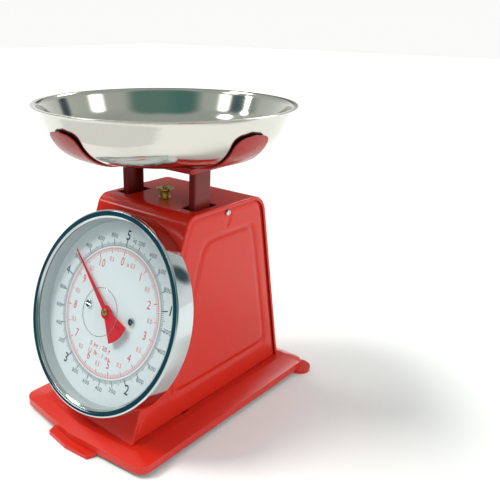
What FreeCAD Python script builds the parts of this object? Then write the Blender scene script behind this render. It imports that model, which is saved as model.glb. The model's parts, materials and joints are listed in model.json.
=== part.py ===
"""Spring-loaded kitchen scale with a lift-off bowl, in millimetres.

+Z is up, the dial faces -Y and +X is to the right of someone reading it.  The origin is on the
table, under the middle of the base.  Every function named build_... returns one sub-part.
"""
import FreeCAD, Part
from math import atan, cos, degrees, hypot, pi, radians, sin, tan
import os

V = FreeCAD.Vector
X_AXIS = V(1, 0, 0)
Y_AXIS = V(0, 1, 0)
Z_AXIS = V(0, 0, 1)

# ---- overall layout -------------------------------------------------------------------------
SHEET = 1.0                 # pressed sheet steel
LOAD_Y = -5.5               # the bowl, the posts and the springs share this vertical plane
TRAVEL = 21.7               # how far the bowl sinks at the lower stop
FULL_SCALE_TURN = 360.0     # pointer turn for the full 5 kg
CLEARANCE = 0.35            # between parts that move past each other

# ---- base -----------------------------------------------------------------------------------
BASE_HALF_WIDTH = 78.5
BASE_FRONT_Y = -123.3       # at the middle of the bowed front edge
BASE_REAR_Y = 122.0
BASE_BOW = 9.0              # how far the front corners lie behind the middle
BASE_CORNER = 11.0
RIM_BOTTOM_Z = 4.0
RIM_TOP_Z = 11.3
DECK_Z = 14.8
DECK_HALF_WIDTH = 60.5
DECK_FRONT_Y = -112.2
DECK_REAR_Y = 112.0
DECK_CORNER = 4.0
TOE_ROOT_HALF_WIDTH = 28.0  # front foot, where it leaves the rim
TOE_TIP_HALF_WIDTH = 25.0
TOE_REACH = 6.7
LUG_RADIUS = 12.0           # rear feet
LUG_X = 74.0
LUG_Y = 118.0

# ---- housing --------------------------------------------------------------------------------
HOUSING_HALF_WIDTH = 54.5
HOUSING_TOP_Z = 195.2
FRONT_TOP_Y = -33.5
REAR_TOP_Y = 67.0
REAR_FOOT_Y = 106.6
DIAL_TILT = 21.0            # degrees that the front wall and the dial lean back
FRONT_BEND = 12.0
REAR_BEND = 20.0
SIDE_RETURN = 3.5           # folded edge of the wrap that frames a side panel
SLOT_INNER_X = 31.0         # slots in the top for the posts
SLOT_OUTER_X = 47.5
SLOT_HALF_LENGTH = 14.5
KNOB_HOLE_RADIUS = 3.0
PANEL_OUTER_X = HOUSING_HALF_WIDTH - SHEET
GROOVE_WIDTH = 3.0          # line pressed into each side panel
SIDE_SCREW_Y = 16.5
SIDE_SCREW_Z = 188.0

# ---- load frame -----------------------------------------------------------------------------
POST_OUTER_X = 43.7
POST_DEPTH = 6.9
POST_HALF_WIDTH = 10.0
POST_BOTTOM_Z = 70.0
CROSSBAR_TOP_Z = 232.2
CROSSBAR_SHEET = 1.5
CROSSBAR_FLANGE = 4.3
CROSSBAR_HALF_X = 51.0
CROSSBAR_HALF_Y = 23.0
CARRIER_SHEET = 1.2
CARRIER_GAP = 2.4           # between the wings and the bowl
CARRIER_ARM_WIDTH = 35.0
CARRIER_TIP_Z = 264.0
CARRIER_TURN = -6.0         # degrees that the cross sits round from square
CARRIER_HUB_RADIUS = 34.0

# ---- bowl -----------------------------------------------------------------------------------
BOWL_RIM_Z = 277.7
BOWL_RIM_RADIUS = 110.0
BOWL_SHEET = 0.8
BOWL_NECK_RADIUS = 105.2    # just under the out-turned lip
BOWL_NECK_DROP = 2.0
BOWL_WALL_DROP = 17.0       # the straight wall ends here
BOWL_WALL_ANGLE = 20.5      # degrees off the vertical
BOWL_CORNER = 37.0
BOWL_DEPTH = 44.0
BOWL_FLAT_RADIUS = 32.0

# ---- linkage --------------------------------------------------------------------------------
PIVOT_Y = 50.0
PIVOT_HEIGHTS = {"upper": 135.0, "lower": 75.0}
ARM_REACH = PIVOT_Y - LOAD_Y
ARM_INNER_X = 33.8
ARM_SHEET = 1.5
ARM_HALF_HEIGHT = 4.5
ARM_CROSS_Y = 30.0
CHEEK_INNER_X = 36.0
CHEEK_SHEET = 2.0
FRAME_TOP_Z = 165.0
FRAME_FRONT_Y = 38.0
FRAME_REAR_Y = 62.0
FRAME_FOOT_Y = 20.0
PIN_RADIUS = 2.0

# ---- springs and zero adjustment ------------------------------------------------------------
SPRING_X = 15.0
SPRING_RADIUS = 5.0
SPRING_WIRE = 0.7
SPRING_PITCH = 2.6
SPRING_LOWER_EYE_Z = 82.0
SPRING_UPPER_EYE_Z = 161.5
EYE_PLAY = 1.6              # the lower hooks sit in upright slots, so zeroing can move them
HANGER_BOTTOM_Z = 165.0
ZERO_SCREW_RADIUS = 2.0
ZERO_SCREW_TOP_Z = 206.5
KNOB_BODY_RADIUS = 4.5
KNOB_FLANGE_RADIUS = 7.4
KNOB_FLANGE_Z = 203.2

# ---- dial, measured outwards from the front wall ----------------------------------------------
DIAL_CENTRE_Z = 105.7       # where the shaft leaves the front wall
BEZEL_RADIUS = 86.5
BEZEL_BACK = 1.8
BEZEL_FRONT = 20.6
BEZEL_SHEET = 0.9
BEZEL_ROLL = 4.0
BEZEL_OPENING = 79.4
PAN_RADIUS = 85.2
PAN_SHEET = 0.8
DIAL_PLATE_BACK = 5.5
DIAL_PLATE_FRONT = 6.3
DIAL_PLATE_RADIUS = 84.0
SPACER_OUTER = 83.9
SPACER_INNER = 79.8
LENS_BACK = 17.0
LENS_FRONT = 18.4
LENS_RADIUS = 83.4
LENS_BOSS_RADIUS = 20.5
DIAL_SCREW_X = 27.0
POINTER_ANGLE = -52.0       # degrees clockwise from the zero mark at rest
POINTER_LENGTH = 69.0
POINTER_LEVEL = 10.6
POINTER_SHEET = 0.6

# ---- rack and pinion --------------------------------------------------------------------------
MODULE = 0.7
PINION_TEETH = 8
PITCH_RADIUS = MODULE * PINION_TEETH / 2.0
TOOTH_TIP = 0.65            # tooth above and below the pitch line
TOOTH_ROOT = 0.80
TOOTH_HALF_TIP = 0.20
TOOTH_HALF_ROOT = 0.50
SHAFT_RADIUS = 1.5
PINION_LEVEL = (-12.3, -7.7)
RACK_LEVEL = (-12.0, -8.0)
RACK_BACK_X = 8.1
DRIVE_PIN_RADIUS = 1.5
DRIVE_PIN_V = -40.0         # place of the drive pin along the front wall
DRIVE_PIN_W = -13.5         # and behind it
BRACKET_HALF_X = 16.0
BRACKET_HALF_V = 22.0
BRACKET_SHEET = 1.5
BRACKET_BACK = -20.5

FRONT_FOOT_Y = FRONT_TOP_Y - (HOUSING_TOP_Z - DECK_Z) * tan(radians(DIAL_TILT))
REAR_SLOPE = (REAR_FOOT_Y - REAR_TOP_Y) / (HOUSING_TOP_Z - DECK_Z)
DIAL_CENTRE_Y = FRONT_TOP_Y - (HOUSING_TOP_Z - DIAL_CENTRE_Z) * tan(radians(DIAL_TILT))


# ---- helpers ------------------------------------------------------------------------------------
def box(x_range, y_range, z_range):
    """A block between two corners, each range given as (low, high)."""
    size = [high - low for low, high in (x_range, y_range, z_range)]
    return Part.makeBox(*size, V(x_range[0], y_range[0], z_range[0]))


def rod(radius, start, end):
    """A round bar from one point to another."""
    along = V(*end) - V(*start)
    return Part.makeCylinder(radius, along.Length, V(*start), along)


def fuse(shapes):
    """One clean solid out of several that touch or overlap."""
    first, *others = shapes
    return (first.multiFuse(others) if others else first).removeSplitter()


def loop(corners, place):
    """A closed wire through (u, v, bend radius) corners, laid into space by place(u, v)."""
    points = [FreeCAD.Vector(u, v, 0) for u, v, _ in corners]
    marks = []
    for index, (_, _, bend) in enumerate(corners):
        here = points[index]
        back = (points[index - 1] - here).normalize()
        ahead = (points[(index + 1) % len(points)] - here).normalize()
        if bend <= 0:
            marks.append((here, None, here))
            continue
        half = back.getAngle(ahead) / 2.0
        reach = bend / tan(half)
        middle = (back + ahead).normalize() * (bend / sin(half) - bend)
        marks.append((here + back * reach, here + middle, here + ahead * reach))
    edges = []
    for index, (start, middle, end) in enumerate(marks):
        if middle is not None:
            edges.append(Part.Arc(place(start), place(middle), place(end)).toShape())
        following = marks[(index + 1) % len(marks)][0]
        if (following - end).Length > 1e-6:
            edges.append(Part.LineSegment(place(end), place(following)).toShape())
    return Part.Wire(edges)


def plan_loop(corners, z):
    """A closed wire in a horizontal plane."""
    return loop(corners, lambda p: V(p.x, p.y, z))


def plan_prism(corners, z_range):
    """A vertical prism over a rounded plan outline."""
    face = Part.Face(plan_loop(corners, z_range[0]))
    return face.extrude(V(0, 0, z_range[1] - z_range[0]))


def side_prism(corners, x_range):
    """A prism along X over a rounded (y, z) outline."""
    face = Part.Face(loop(corners, lambda p: V(x_range[0], p.x, p.y)))
    return face.extrude(V(x_range[1] - x_range[0], 0, 0))


def turned(profile, centre=V(0, 0, 0)):
    """A ring or disc turned about the vertical through centre from an (r, z) outline."""
    points = [V(r, 0, z) for r, z in profile]
    face = Part.Face(Part.makePolygon(points + points[:1]))
    ring = face.revolve(V(0, 0, 0), Z_AXIS, 360)
    ring.translate(centre)
    return ring


def on_dial(shape):
    """Moves a shape built about +Z on to the leaning front wall, where the dial shaft leaves it."""
    placed = shape.copy()
    placed.rotate(V(0, 0, 0), X_AXIS, 90.0 - DIAL_TILT)
    placed.translate(V(0, DIAL_CENTRE_Y, DIAL_CENTRE_Z))
    return placed


def dial_point(x, v, w):
    """A point given across, up and out of the front wall, in the scale's own frame."""
    tilt = radians(DIAL_TILT)
    return (x, DIAL_CENTRE_Y + v * sin(tilt) - w * cos(tilt), DIAL_CENTRE_Z + v * cos(tilt) + w * sin(tilt))


def screw(radius, head_radius, head_height, length):
    """A pan-head screw standing on z = 0 with its shank pointing down."""
    head = Part.makeCylinder(head_radius, head_height)
    head = head.makeFillet(head_height * 0.6, [head.Edges[0]])
    slot = box((-head_radius, head_radius), (-0.35, 0.35), (head_height * 0.55, head_height + 1))
    return fuse([head.cut(slot), Part.makeCylinder(radius, length, V(0, 0, -length))])


def mirrored(shape):
    """The same part on the other side of the scale."""
    return shape.mirror(V(0, 0, 0), X_AXIS)


# ---- base -----------------------------------------------------------------------------------------
def base_outline(half_width, front_y, rear_y, bend, inset=0.0):
    """Plan outline of the base: straight sides, and a front edge that bows out to its middle."""
    slope = BASE_BOW / BASE_HALF_WIDTH
    side = half_width - inset
    middle = front_y + inset * hypot(1.0, slope)
    corner = middle + slope * side
    radius = max(bend - inset, 0.5)
    rear = rear_y - inset
    return [(-side, corner, radius), (0.0, middle, 0.0), (side, corner, radius),
            (side, rear, radius), (-side, rear, radius)]


def base_body(inset):
    """The base as a solid block, shrunk by inset on every pressed face."""
    rim = base_outline(BASE_HALF_WIDTH, BASE_FRONT_Y, BASE_REAR_Y, BASE_CORNER, inset)
    deck = base_outline(DECK_HALF_WIDTH, DECK_FRONT_Y, DECK_REAR_Y, DECK_CORNER, inset)
    low = plan_prism(rim, (RIM_BOTTOM_Z if inset == 0 else 0.0, RIM_TOP_Z - inset))
    high = Part.makeLoft([plan_loop(rim, RIM_TOP_Z - inset), plan_loop(deck, DECK_Z - inset)], True, True)
    return fuse([low, high])


def front_toe():
    """Foot pressed out under the front edge: a ledge, then a short lip down to the table."""
    slope = BASE_BOW / BASE_HALF_WIDTH

    def outline(inset):
        root = TOE_ROOT_HALF_WIDTH - inset
        tip = TOE_TIP_HALF_WIDTH - inset
        rim_y = BASE_FRONT_Y + SHEET + slope * root
        tip_y = BASE_FRONT_Y - TOE_REACH + inset
        return [(-root, rim_y, 0), (-tip, tip_y + slope * tip, 0), (0, tip_y, 0),
                (tip, tip_y + slope * tip, 0), (root, rim_y, 0), (0, BASE_FRONT_Y + SHEET, 0)]

    solid = plan_prism(outline(0.0), (0.0, RIM_BOTTOM_Z))
    hollow = plan_prism(outline(SHEET), (0.0, RIM_BOTTOM_Z - SHEET))
    return solid.cut(hollow)


def rear_lug():
    """Round foot pressed out under the right rear corner."""
    solid = Part.makeCylinder(LUG_RADIUS, RIM_BOTTOM_Z, V(LUG_X, LUG_Y, 0))
    hollow = Part.makeCylinder(LUG_RADIUS - SHEET, RIM_BOTTOM_Z - SHEET, V(LUG_X, LUG_Y, 0))
    inside = plan_prism(base_outline(BASE_HALF_WIDTH, BASE_FRONT_Y, BASE_REAR_Y, BASE_CORNER, SHEET),
                        (0.0, RIM_BOTTOM_Z))
    return solid.cut(hollow).cut(inside)


def build_base_tray():
    """Pressed tray that carries the housing, with three feet, panel slots and screw holes."""
    tray = base_body(0.0).cut(base_body(SHEET))
    tray = fuse([tray, front_toe(), rear_lug(), mirrored(rear_lug())])
    for x in (-PANEL_OUTER_X + SHEET / 2, PANEL_OUTER_X - SHEET / 2):
        for y in (-38.0, 72.0):
            tray = tray.cut(box((x - 1.0, x + 1.0), (y - 5.0, y + 5.0), (0.0, DECK_Z + 1.0)))
    for x, y in frame_screw_places():
        tray = tray.cut(rod(1.7, (x, y, 0), (x, y, DECK_Z + 1)))
    return tray


def frame_screw_places():
    """Plan places of the four screws that hold the movement frame down."""
    return [(x, y) for x in (-28.0, 28.0) for y in (FRAME_FOOT_Y + 7.0, FRAME_REAR_Y - 8.0)]


def build_base_screws():
    """Four screws, put in from below."""
    screws = []
    for x, y in frame_screw_places():
        one = screw(1.6, 3.2, 1.8, 6.0)
        one.rotate(V(0, 0, 0), X_AXIS, 180)
        one.translate(V(x, y, DECK_Z - SHEET))
        screws.append(one)
    return Part.makeCompound(screws)


# ---- housing --------------------------------------------------------------------------------------
def housing_outline(inset, foot_z=DECK_Z):
    """Side view of the wrap: leaning front, short top, leaning rear, shrunk by inset."""
    lean = tan(radians(DIAL_TILT))
    top = HOUSING_TOP_Z - inset
    front_top = FRONT_TOP_Y + inset * (hypot(1.0, lean) - lean)
    rear_top = REAR_TOP_Y - inset * (hypot(1.0, REAR_SLOPE) - REAR_SLOPE)
    front_foot = front_top - (top - foot_z) * lean
    rear_foot = rear_top + (top - foot_z) * REAR_SLOPE
    return [(front_foot, foot_z, 0), (rear_foot, foot_z, 0),
            (rear_top, top, REAR_BEND - inset), (front_top, top, FRONT_BEND - inset)]


def build_housing_shell():
    """One sheet bent over front, top and rear, with folded edges that frame the side panels."""
    outer_x = HOUSING_HALF_WIDTH
    shell = side_prism(housing_outline(0.0), (-outer_x, outer_x))
    shell = shell.cut(side_prism(housing_outline(SHEET, 0.0), (-outer_x + SHEET, outer_x - SHEET)))
    shell = shell.cut(side_prism(housing_outline(SIDE_RETURN, 0.0), (-outer_x - 1, outer_x + 1)))
    for side in (-1, 1):
        slot_x = sorted((side * SLOT_INNER_X, side * SLOT_OUTER_X))
        slot_y = (LOAD_Y - SLOT_HALF_LENGTH, LOAD_Y + SLOT_HALF_LENGTH)
        shell = shell.cut(box(slot_x, slot_y, (HOUSING_TOP_Z - 3, HOUSING_TOP_Z + 3)))
    shell = shell.cut(rod(KNOB_HOLE_RADIUS, (0, LOAD_Y, HOUSING_TOP_Z - 3), (0, LOAD_Y, HOUSING_TOP_Z + 3)))
    holes = [Part.makeCylinder(5.0, 6, V(0, 0, -3))]
    holes += [Part.makeCylinder(1.6, 6, V(x, v, -3)) for x, v in pan_screw_places()]
    holes += [Part.makeCylinder(1.6, 6, V(x, v, -3)) for x, v in bracket_screw_places()]
    return shell.cut(on_dial(Part.makeCompound(holes))).cut(build_rear_screws())


def groove_outline(inset):
    """Side view of the line pressed into each side panel."""
    lean = tan(radians(DIAL_TILT))
    top, bottom = 170.0 - inset, 38.0 + inset
    front_top, rear_top = -14.0 + inset * 1.2, 54.0 - inset * 0.8
    front_foot = front_top - (top - bottom) * lean * 0.8
    rear_foot = rear_top + (top - bottom) * REAR_SLOPE
    return [(front_foot, bottom, 14.0 - inset), (rear_foot, bottom, 14.0 - inset),
            (rear_top, top, 9.0 - inset), (front_top, top, 9.0 - inset)]


def dimple_outline(inset):
    """Upright oval pressed round the side screw."""
    half = 4.5 - inset
    low, high = SIDE_SCREW_Z - 11.0 + inset, SIDE_SCREW_Z + 3.4 - inset
    return [(SIDE_SCREW_Y - half, low, half * 0.99), (SIDE_SCREW_Y + half, low, half * 0.99),
            (SIDE_SCREW_Y + half, high, half * 0.6), (SIDE_SCREW_Y - half, high, half * 0.6)]


def build_side_panel_right():
    """Flat side sheet with a pressed groove and a dimple under its screw."""
    outer = PANEL_OUTER_X
    inner = outer - SHEET
    press = 0.8
    panel = side_prism(housing_outline(SHEET + 0.2), (inner, outer))
    ridge = side_prism(groove_outline(-0.9), (inner - press, inner)).cut(
        side_prism(groove_outline(GROOVE_WIDTH + 0.9), (inner - press, inner)))
    pocket = side_prism(dimple_outline(-SHEET), (inner - press, inner))
    panel = fuse([panel, ridge, pocket])
    groove = side_prism(groove_outline(0.0), (outer - press, outer + 1)).cut(
        side_prism(groove_outline(GROOVE_WIDTH), (outer - press, outer + 1)))
    panel = panel.cut(groove).cut(side_prism(dimple_outline(0.0), (outer - press, outer + 1)))
    hole = rod(1.5, (inner - 3, SIDE_SCREW_Y, SIDE_SCREW_Z), (outer + 1, SIDE_SCREW_Y, SIDE_SCREW_Z))
    tabs = [box((inner + 0.1, outer - 0.1), (y - 4.5, y + 4.5), (DECK_Z - 3.0, DECK_Z + 1.0)) for y in (-38.0, 72.0)]
    return fuse([panel.cut(hole)] + tabs)


def build_side_screws():
    """One chrome screw in each side panel."""
    one = screw(1.45, 2.7, 1.7, 7.0)
    one.rotate(V(0, 0, 0), Y_AXIS, 90)
    one.translate(V(PANEL_OUTER_X - 0.8, SIDE_SCREW_Y, SIDE_SCREW_Z))
    return Part.makeCompound([one, mirrored(one)])


def build_rear_screws():
    """Two screws high on the rear wall and two low down."""
    screws = []
    wall = degrees(atan(REAR_SLOPE))
    for height in (45.0, 165.0):
        one = screw(1.45, 2.7, 1.7, 3.0)
        one.rotate(V(0, 0, 0), X_AXIS, wall - 90)
        one.translate(V(46.0, REAR_TOP_Y + (HOUSING_TOP_Z - height) * REAR_SLOPE, height))
        screws += [one, mirrored(one)]
    return Part.makeCompound(screws)


# ---- dial -----------------------------------------------------------------------------------------
def pan_screw_places():
    """Places on the front wall of the screws that hold the dial pan."""
    return [(x, v) for x in (-36.0, 36.0) for v in (-42.0, 42.0)]


def bracket_screw_places():
    """Places on the front wall of the screws that hold the gear bracket."""
    return [(x, v) for x in (-12.0, 12.0) for v in (-17.0, 17.0)]


def build_dial_pan():
    """Shallow round pan that closes the back of the dial."""
    pan = Part.makeCylinder(PAN_RADIUS, 15.0).cut(
        Part.makeCylinder(PAN_RADIUS - PAN_SHEET, 15.0, V(0, 0, PAN_SHEET)))
    pan = pan.cut(Part.makeCylinder(5.0, 4, V(0, 0, -1)))
    for x, v in pan_screw_places():
        pan = pan.cut(Part.makeCylinder(1.6, 4, V(x, v, -1)))
    for x, v in bracket_screw_places():
        pan = pan.cut(Part.makeCylinder(3.3, 4, V(x, v, -1)))
    return on_dial(pan)


def build_pan_screws():
    """Four screws through the pan into the front wall."""
    screws = []
    for x, v in pan_screw_places():
        one = screw(1.5, 3.0, 1.8, 5.0)
        one.translate(V(x, v, PAN_SHEET))
        screws.append(on_dial(one))
    return Part.makeCompound(screws)


def build_dial_standoffs():
    """Two pillars between the pan and the dial plate."""
    pillars = []
    for x in (-DIAL_SCREW_X, DIAL_SCREW_X):
        pillar = Part.makeCylinder(3.0, DIAL_PLATE_BACK - PAN_SHEET, V(x, 0, PAN_SHEET))
        pillars.append(on_dial(pillar.cut(Part.makeCylinder(1.25, 8, V(x, 0, 0)))))
    return Part.makeCompound(pillars)


def build_dial_plate():
    """White printed plate behind the pointer."""
    plate = Part.makeCylinder(DIAL_PLATE_RADIUS, DIAL_PLATE_FRONT - DIAL_PLATE_BACK, V(0, 0, DIAL_PLATE_BACK))
    plate = plate.cut(Part.makeCylinder(SHAFT_RADIUS + 1.0, 20))
    for x in (-DIAL_SCREW_X, DIAL_SCREW_X):
        plate = plate.cut(Part.makeCylinder(1.3, 20, V(x, 0, 0)))
    return on_dial(plate)


def build_dial_screws():
    """Two small screws left and right of the pointer."""
    screws = []
    for x in (-DIAL_SCREW_X, DIAL_SCREW_X):
        one = screw(1.2, 3.6, 2.0, 4.5)
        one.translate(V(x, 0, DIAL_PLATE_FRONT))
        screws.append(on_dial(one))
    return Part.makeCompound(screws)


def build_spacer_ring():
    """White ring that holds the dial plate back and the lens forward."""
    return on_dial(turned([(SPACER_OUTER, DIAL_PLATE_FRONT), (SPACER_OUTER, LENS_BACK),
                           (SPACER_INNER, LENS_BACK), (SPACER_INNER - 1.2, DIAL_PLATE_FRONT)]))


def build_lens():
    """Clear cover with a round boss moulded in its middle."""
    disc = Part.makeCylinder(LENS_RADIUS, LENS_FRONT - LENS_BACK, V(0, 0, LENS_BACK))
    boss = Part.makeCylinder(LENS_BOSS_RADIUS, 0.6, V(0, 0, LENS_FRONT))
    return on_dial(fuse([disc, boss.makeFillet(0.4, [boss.Edges[0]])]))


def build_bezel():
    """Deep chromed ring: a straight side band rolled over at the front to hold the lens."""
    def section(inset):
        outer = BEZEL_RADIUS - inset
        front = BEZEL_FRONT - inset
        bend = BEZEL_ROLL - inset
        corner = V(outer - bend, 0, front - bend)
        shoulder = corner + V(bend * sin(pi / 4), 0, bend * cos(pi / 4))
        opening = V(BEZEL_OPENING, 0, 18.45 if inset else 18.45 + BEZEL_SHEET)
        crown = V(BEZEL_RADIUS - BEZEL_ROLL - 1.2, 0, front)
        return [Part.LineSegment(V(outer, 0, BEZEL_BACK), V(outer, 0, corner.z)).toShape(),
                Part.Arc(V(outer, 0, corner.z), shoulder, V(corner.x, 0, front)).toShape(),
                Part.LineSegment(V(corner.x, 0, front), crown).toShape(),
                Part.LineSegment(crown, opening).toShape()]

    outside, inside = section(0.0), section(BEZEL_SHEET)
    ends = [Part.LineSegment(outside[0].Vertexes[0].Point, inside[0].Vertexes[0].Point).toShape(),
            Part.LineSegment(outside[-1].Vertexes[-1].Point, inside[-1].Vertexes[-1].Point).toShape()]
    wire = Part.Wire(Part.__sortEdges__(outside + inside + ends))
    return on_dial(Part.Face(wire).revolve(V(0, 0, 0), Z_AXIS, 360))


# ---- pointer, shaft and gears ---------------------------------------------------------------------
def build_pointer():
    """Tapered needle with a round hub and a fan-shaped counterweight tail."""
    low, high = POINTER_LEVEL, POINTER_LEVEL + POINTER_SHEET
    needle = plan_prism([(-2.6, 0, 0), (2.6, 0, 0), (0.45, POINTER_LENGTH, 0.3), (-0.45, POINTER_LENGTH, 0.3)],
                        (low, high))
    fan = plan_prism([(-4.0, -2.0, 0), (4.0, -2.0, 0), (14.0, -30.0, 0), (-14.0, -30.0, 0)], (low, high))
    fan = fan.common(Part.makeCylinder(26.5, POINTER_SHEET, V(0, 0, low)))
    disc = Part.makeCylinder(6.0, POINTER_SHEET, V(0, 0, low))
    hub = Part.makeCylinder(3.4, 4.0, V(0, 0, low - 3.0))
    blade = fuse([needle, fan, disc, hub]).cut(Part.makeCylinder(SHAFT_RADIUS, 8.0, V(0, 0, low - 4.0)))
    blade.rotate(V(0, 0, 0), Z_AXIS, -POINTER_ANGLE)
    return on_dial(blade)


def build_pointer_cap():
    """Domed brass nut that clamps the pointer to its shaft."""
    cap = Part.makeCylinder(2.9, 2.2, V(0, 0, POINTER_LEVEL + 1.0))
    return on_dial(cap.makeFillet(1.4, [cap.Edges[0]]))


def build_pointer_shaft():
    """Shaft that carries the pinion behind the wall and the pointer in front of it."""
    return on_dial(Part.makeCylinder(SHAFT_RADIUS, POINTER_LEVEL + 1.0 - (BRACKET_BACK - 1.5),
                                     V(0, 0, BRACKET_BACK - 1.5)))


def build_pinion():
    """Eight-leaf pinion."""
    root, tip = PITCH_RADIUS - TOOTH_ROOT, PITCH_RADIUS + TOOTH_TIP
    low, high = PINION_LEVEL
    gear = Part.makeCylinder(root, high - low, V(0, 0, low))
    leaf = plan_prism([(0.5, -TOOTH_HALF_ROOT, 0), (root, -TOOTH_HALF_ROOT, 0), (tip, -TOOTH_HALF_TIP, 0),
                       (tip, TOOTH_HALF_TIP, 0), (root, TOOTH_HALF_ROOT, 0), (0.5, TOOTH_HALF_ROOT, 0)],
                      (low, high))
    leaves = []
    for index in range(PINION_TEETH):
        copy = leaf.copy()
        copy.rotate(V(0, 0, 0), Z_AXIS, (index + 0.5) * 360.0 / PINION_TEETH)
        leaves.append(copy)
    gear = fuse([gear] + leaves)
    return on_dial(gear.cut(Part.makeCylinder(SHAFT_RADIUS, 20, V(0, 0, low - 5))))


def build_rack():
    """Toothed bar beside the pinion, with a slotted foot that the drive pin moves."""
    root_x, tip_x = PITCH_RADIUS + TOOTH_ROOT, PITCH_RADIUS - TOOTH_TIP
    low, high = RACK_LEVEL
    pitch = pi * MODULE
    bar = box((root_x, RACK_BACK_X), (DRIVE_PIN_V - 4.5, 27.0), (low, high))
    teeth = []
    for index in range(-2, 12):
        v = index * pitch
        teeth.append(plan_prism([(root_x + 0.5, v - TOOTH_HALF_ROOT, 0), (root_x, v - TOOTH_HALF_ROOT, 0),
                                 (tip_x, v - TOOTH_HALF_TIP, 0), (tip_x, v + TOOTH_HALF_TIP, 0),
                                 (root_x, v + TOOTH_HALF_ROOT, 0), (root_x + 0.5, v + TOOTH_HALF_ROOT, 0)],
                                (low, high)))
    foot = box((root_x + 0.4, RACK_BACK_X), (DRIVE_PIN_V - 4.5, DRIVE_PIN_V + 4.5), (-26.5, high))
    slot_half = DRIVE_PIN_RADIUS + CLEARANCE
    slide = TRAVEL * sin(radians(DIAL_TILT))
    slot = box((0, RACK_BACK_X + 1), (DRIVE_PIN_V - slot_half, DRIVE_PIN_V + slot_half),
               (DRIVE_PIN_W - slide - 2.2, DRIVE_PIN_W + 2.2))
    return on_dial(fuse([bar, foot] + teeth).cut(slot))


def build_gear_bracket():
    """Open-ended box behind the front wall that holds both shaft bushes and guides the rack."""
    half_x, half_v = BRACKET_HALF_X, BRACKET_HALF_V
    outer = box((-half_x, half_x), (-half_v, half_v), (BRACKET_BACK, -SHEET))
    inner = box((-half_x + BRACKET_SHEET, half_x - BRACKET_SHEET), (-half_v - 1, half_v + 1),
                (BRACKET_BACK + BRACKET_SHEET, -SHEET - BRACKET_SHEET))
    frame = outer.cut(inner)
    holes = [Part.makeCylinder(3.0, 30, V(0, 0, -28))]
    holes += [Part.makeCylinder(1.4, 4, V(x, v, -4)) for x, v in bracket_screw_places()]
    guides = [Part.makeCylinder(1.5, BRACKET_BACK * -1 - SHEET - BRACKET_SHEET,
                                V(RACK_BACK_X + CLEARANCE + 1.5, v, BRACKET_BACK + BRACKET_SHEET / 2))
              for v in (-12.0, 12.0)]
    return on_dial(fuse([frame.cut(Part.makeCompound(holes))] + guides))


def build_bracket_screws():
    """Four screws from the front of the wall into the gear bracket."""
    screws = []
    for x, v in bracket_screw_places():
        one = screw(1.4, 2.8, 1.4, 3.4)
        one.translate(V(x, v, 0))
        screws.append(on_dial(one))
    return Part.makeCompound(screws)


def shaft_bush(plate_range, flange_range):
    """A flanged brass bush in one wall of the gear bracket."""
    barrel = Part.makeCylinder(3.0, plate_range[1] - plate_range[0], V(0, 0, plate_range[0]))
    flange = Part.makeCylinder(4.2, flange_range[1] - flange_range[0], V(0, 0, flange_range[0]))
    bore = Part.makeCylinder(SHAFT_RADIUS + 0.05, 40, V(0, 0, -30))
    return on_dial(fuse([barrel, flange]).cut(bore))


def build_front_bush():
    """Bush in the front wall of the bracket."""
    plate = (-SHEET - BRACKET_SHEET, -SHEET)
    return shaft_bush(plate, (plate[0] - 0.8, plate[0]))


def build_rear_bush():
    """Bush in the rear wall of the bracket."""
    plate = (BRACKET_BACK, BRACKET_BACK + BRACKET_SHEET)
    return shaft_bush(plate, (plate[1], plate[1] + 0.8))


# ---- load frame -----------------------------------------------------------------------------------
def build_post_right():
    """Upright channel, open towards the middle of the scale."""
    outer = POST_OUTER_X
    y_range = (LOAD_Y - POST_HALF_WIDTH, LOAD_Y + POST_HALF_WIDTH)
    z_range = (POST_BOTTOM_Z, CROSSBAR_TOP_Z - CROSSBAR_SHEET)
    channel = box((outer - POST_DEPTH, outer), y_range, z_range)
    edges = [e for e in channel.Edges if abs(e.BoundBox.ZLength - (z_range[1] - z_range[0])) < 0.01
             and e.BoundBox.XMin > outer - 0.1]
    channel = channel.makeFillet(1.6, edges)
    inside = box((0, outer - SHEET), (y_range[0] + SHEET, y_range[1] - SHEET), (0, 300))
    return channel.cut(inside)


def build_post_pins():
    """Four pins on the posts that work in the front eyes of the arms."""
    pins = []
    for pivot_z in PIVOT_HEIGHTS.values():
        z = pivot_z + TRAVEL / 2.0
        for side in (-1, 1):
            pins.append(rod(PIN_RADIUS, (side * (ARM_INNER_X - 0.8), LOAD_Y, z),
                            (side * (POST_OUTER_X - SHEET), LOAD_Y, z)))
    return Part.makeCompound(pins)


def build_crossbar():
    """Plate across the posts, its four edges folded down."""
    top = CROSSBAR_TOP_Z
    x_range = (-CROSSBAR_HALF_X, CROSSBAR_HALF_X)
    y_range = (LOAD_Y - CROSSBAR_HALF_Y, LOAD_Y + CROSSBAR_HALF_Y)
    plate = box(x_range, y_range, (top - CROSSBAR_FLANGE, top))
    upright = [e for e in plate.Edges if abs(e.BoundBox.ZLength - CROSSBAR_FLANGE) < 0.01]
    plate = plate.makeFillet(2.0, upright)
    inside = box((x_range[0] + SHEET, x_range[1] - SHEET), (y_range[0] + SHEET, y_range[1] - SHEET),
                 (0, top - CROSSBAR_SHEET))
    for x in carrier_rivet_places():
        plate = plate.cut(rod(1.5, (x, LOAD_Y, 200), (x, LOAD_Y, 250)))
    return plate.cut(inside)


def carrier_rivet_places():
    """Where rivets join the carrier to the crossbar, along X."""
    return (-14.0, 14.0)


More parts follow.
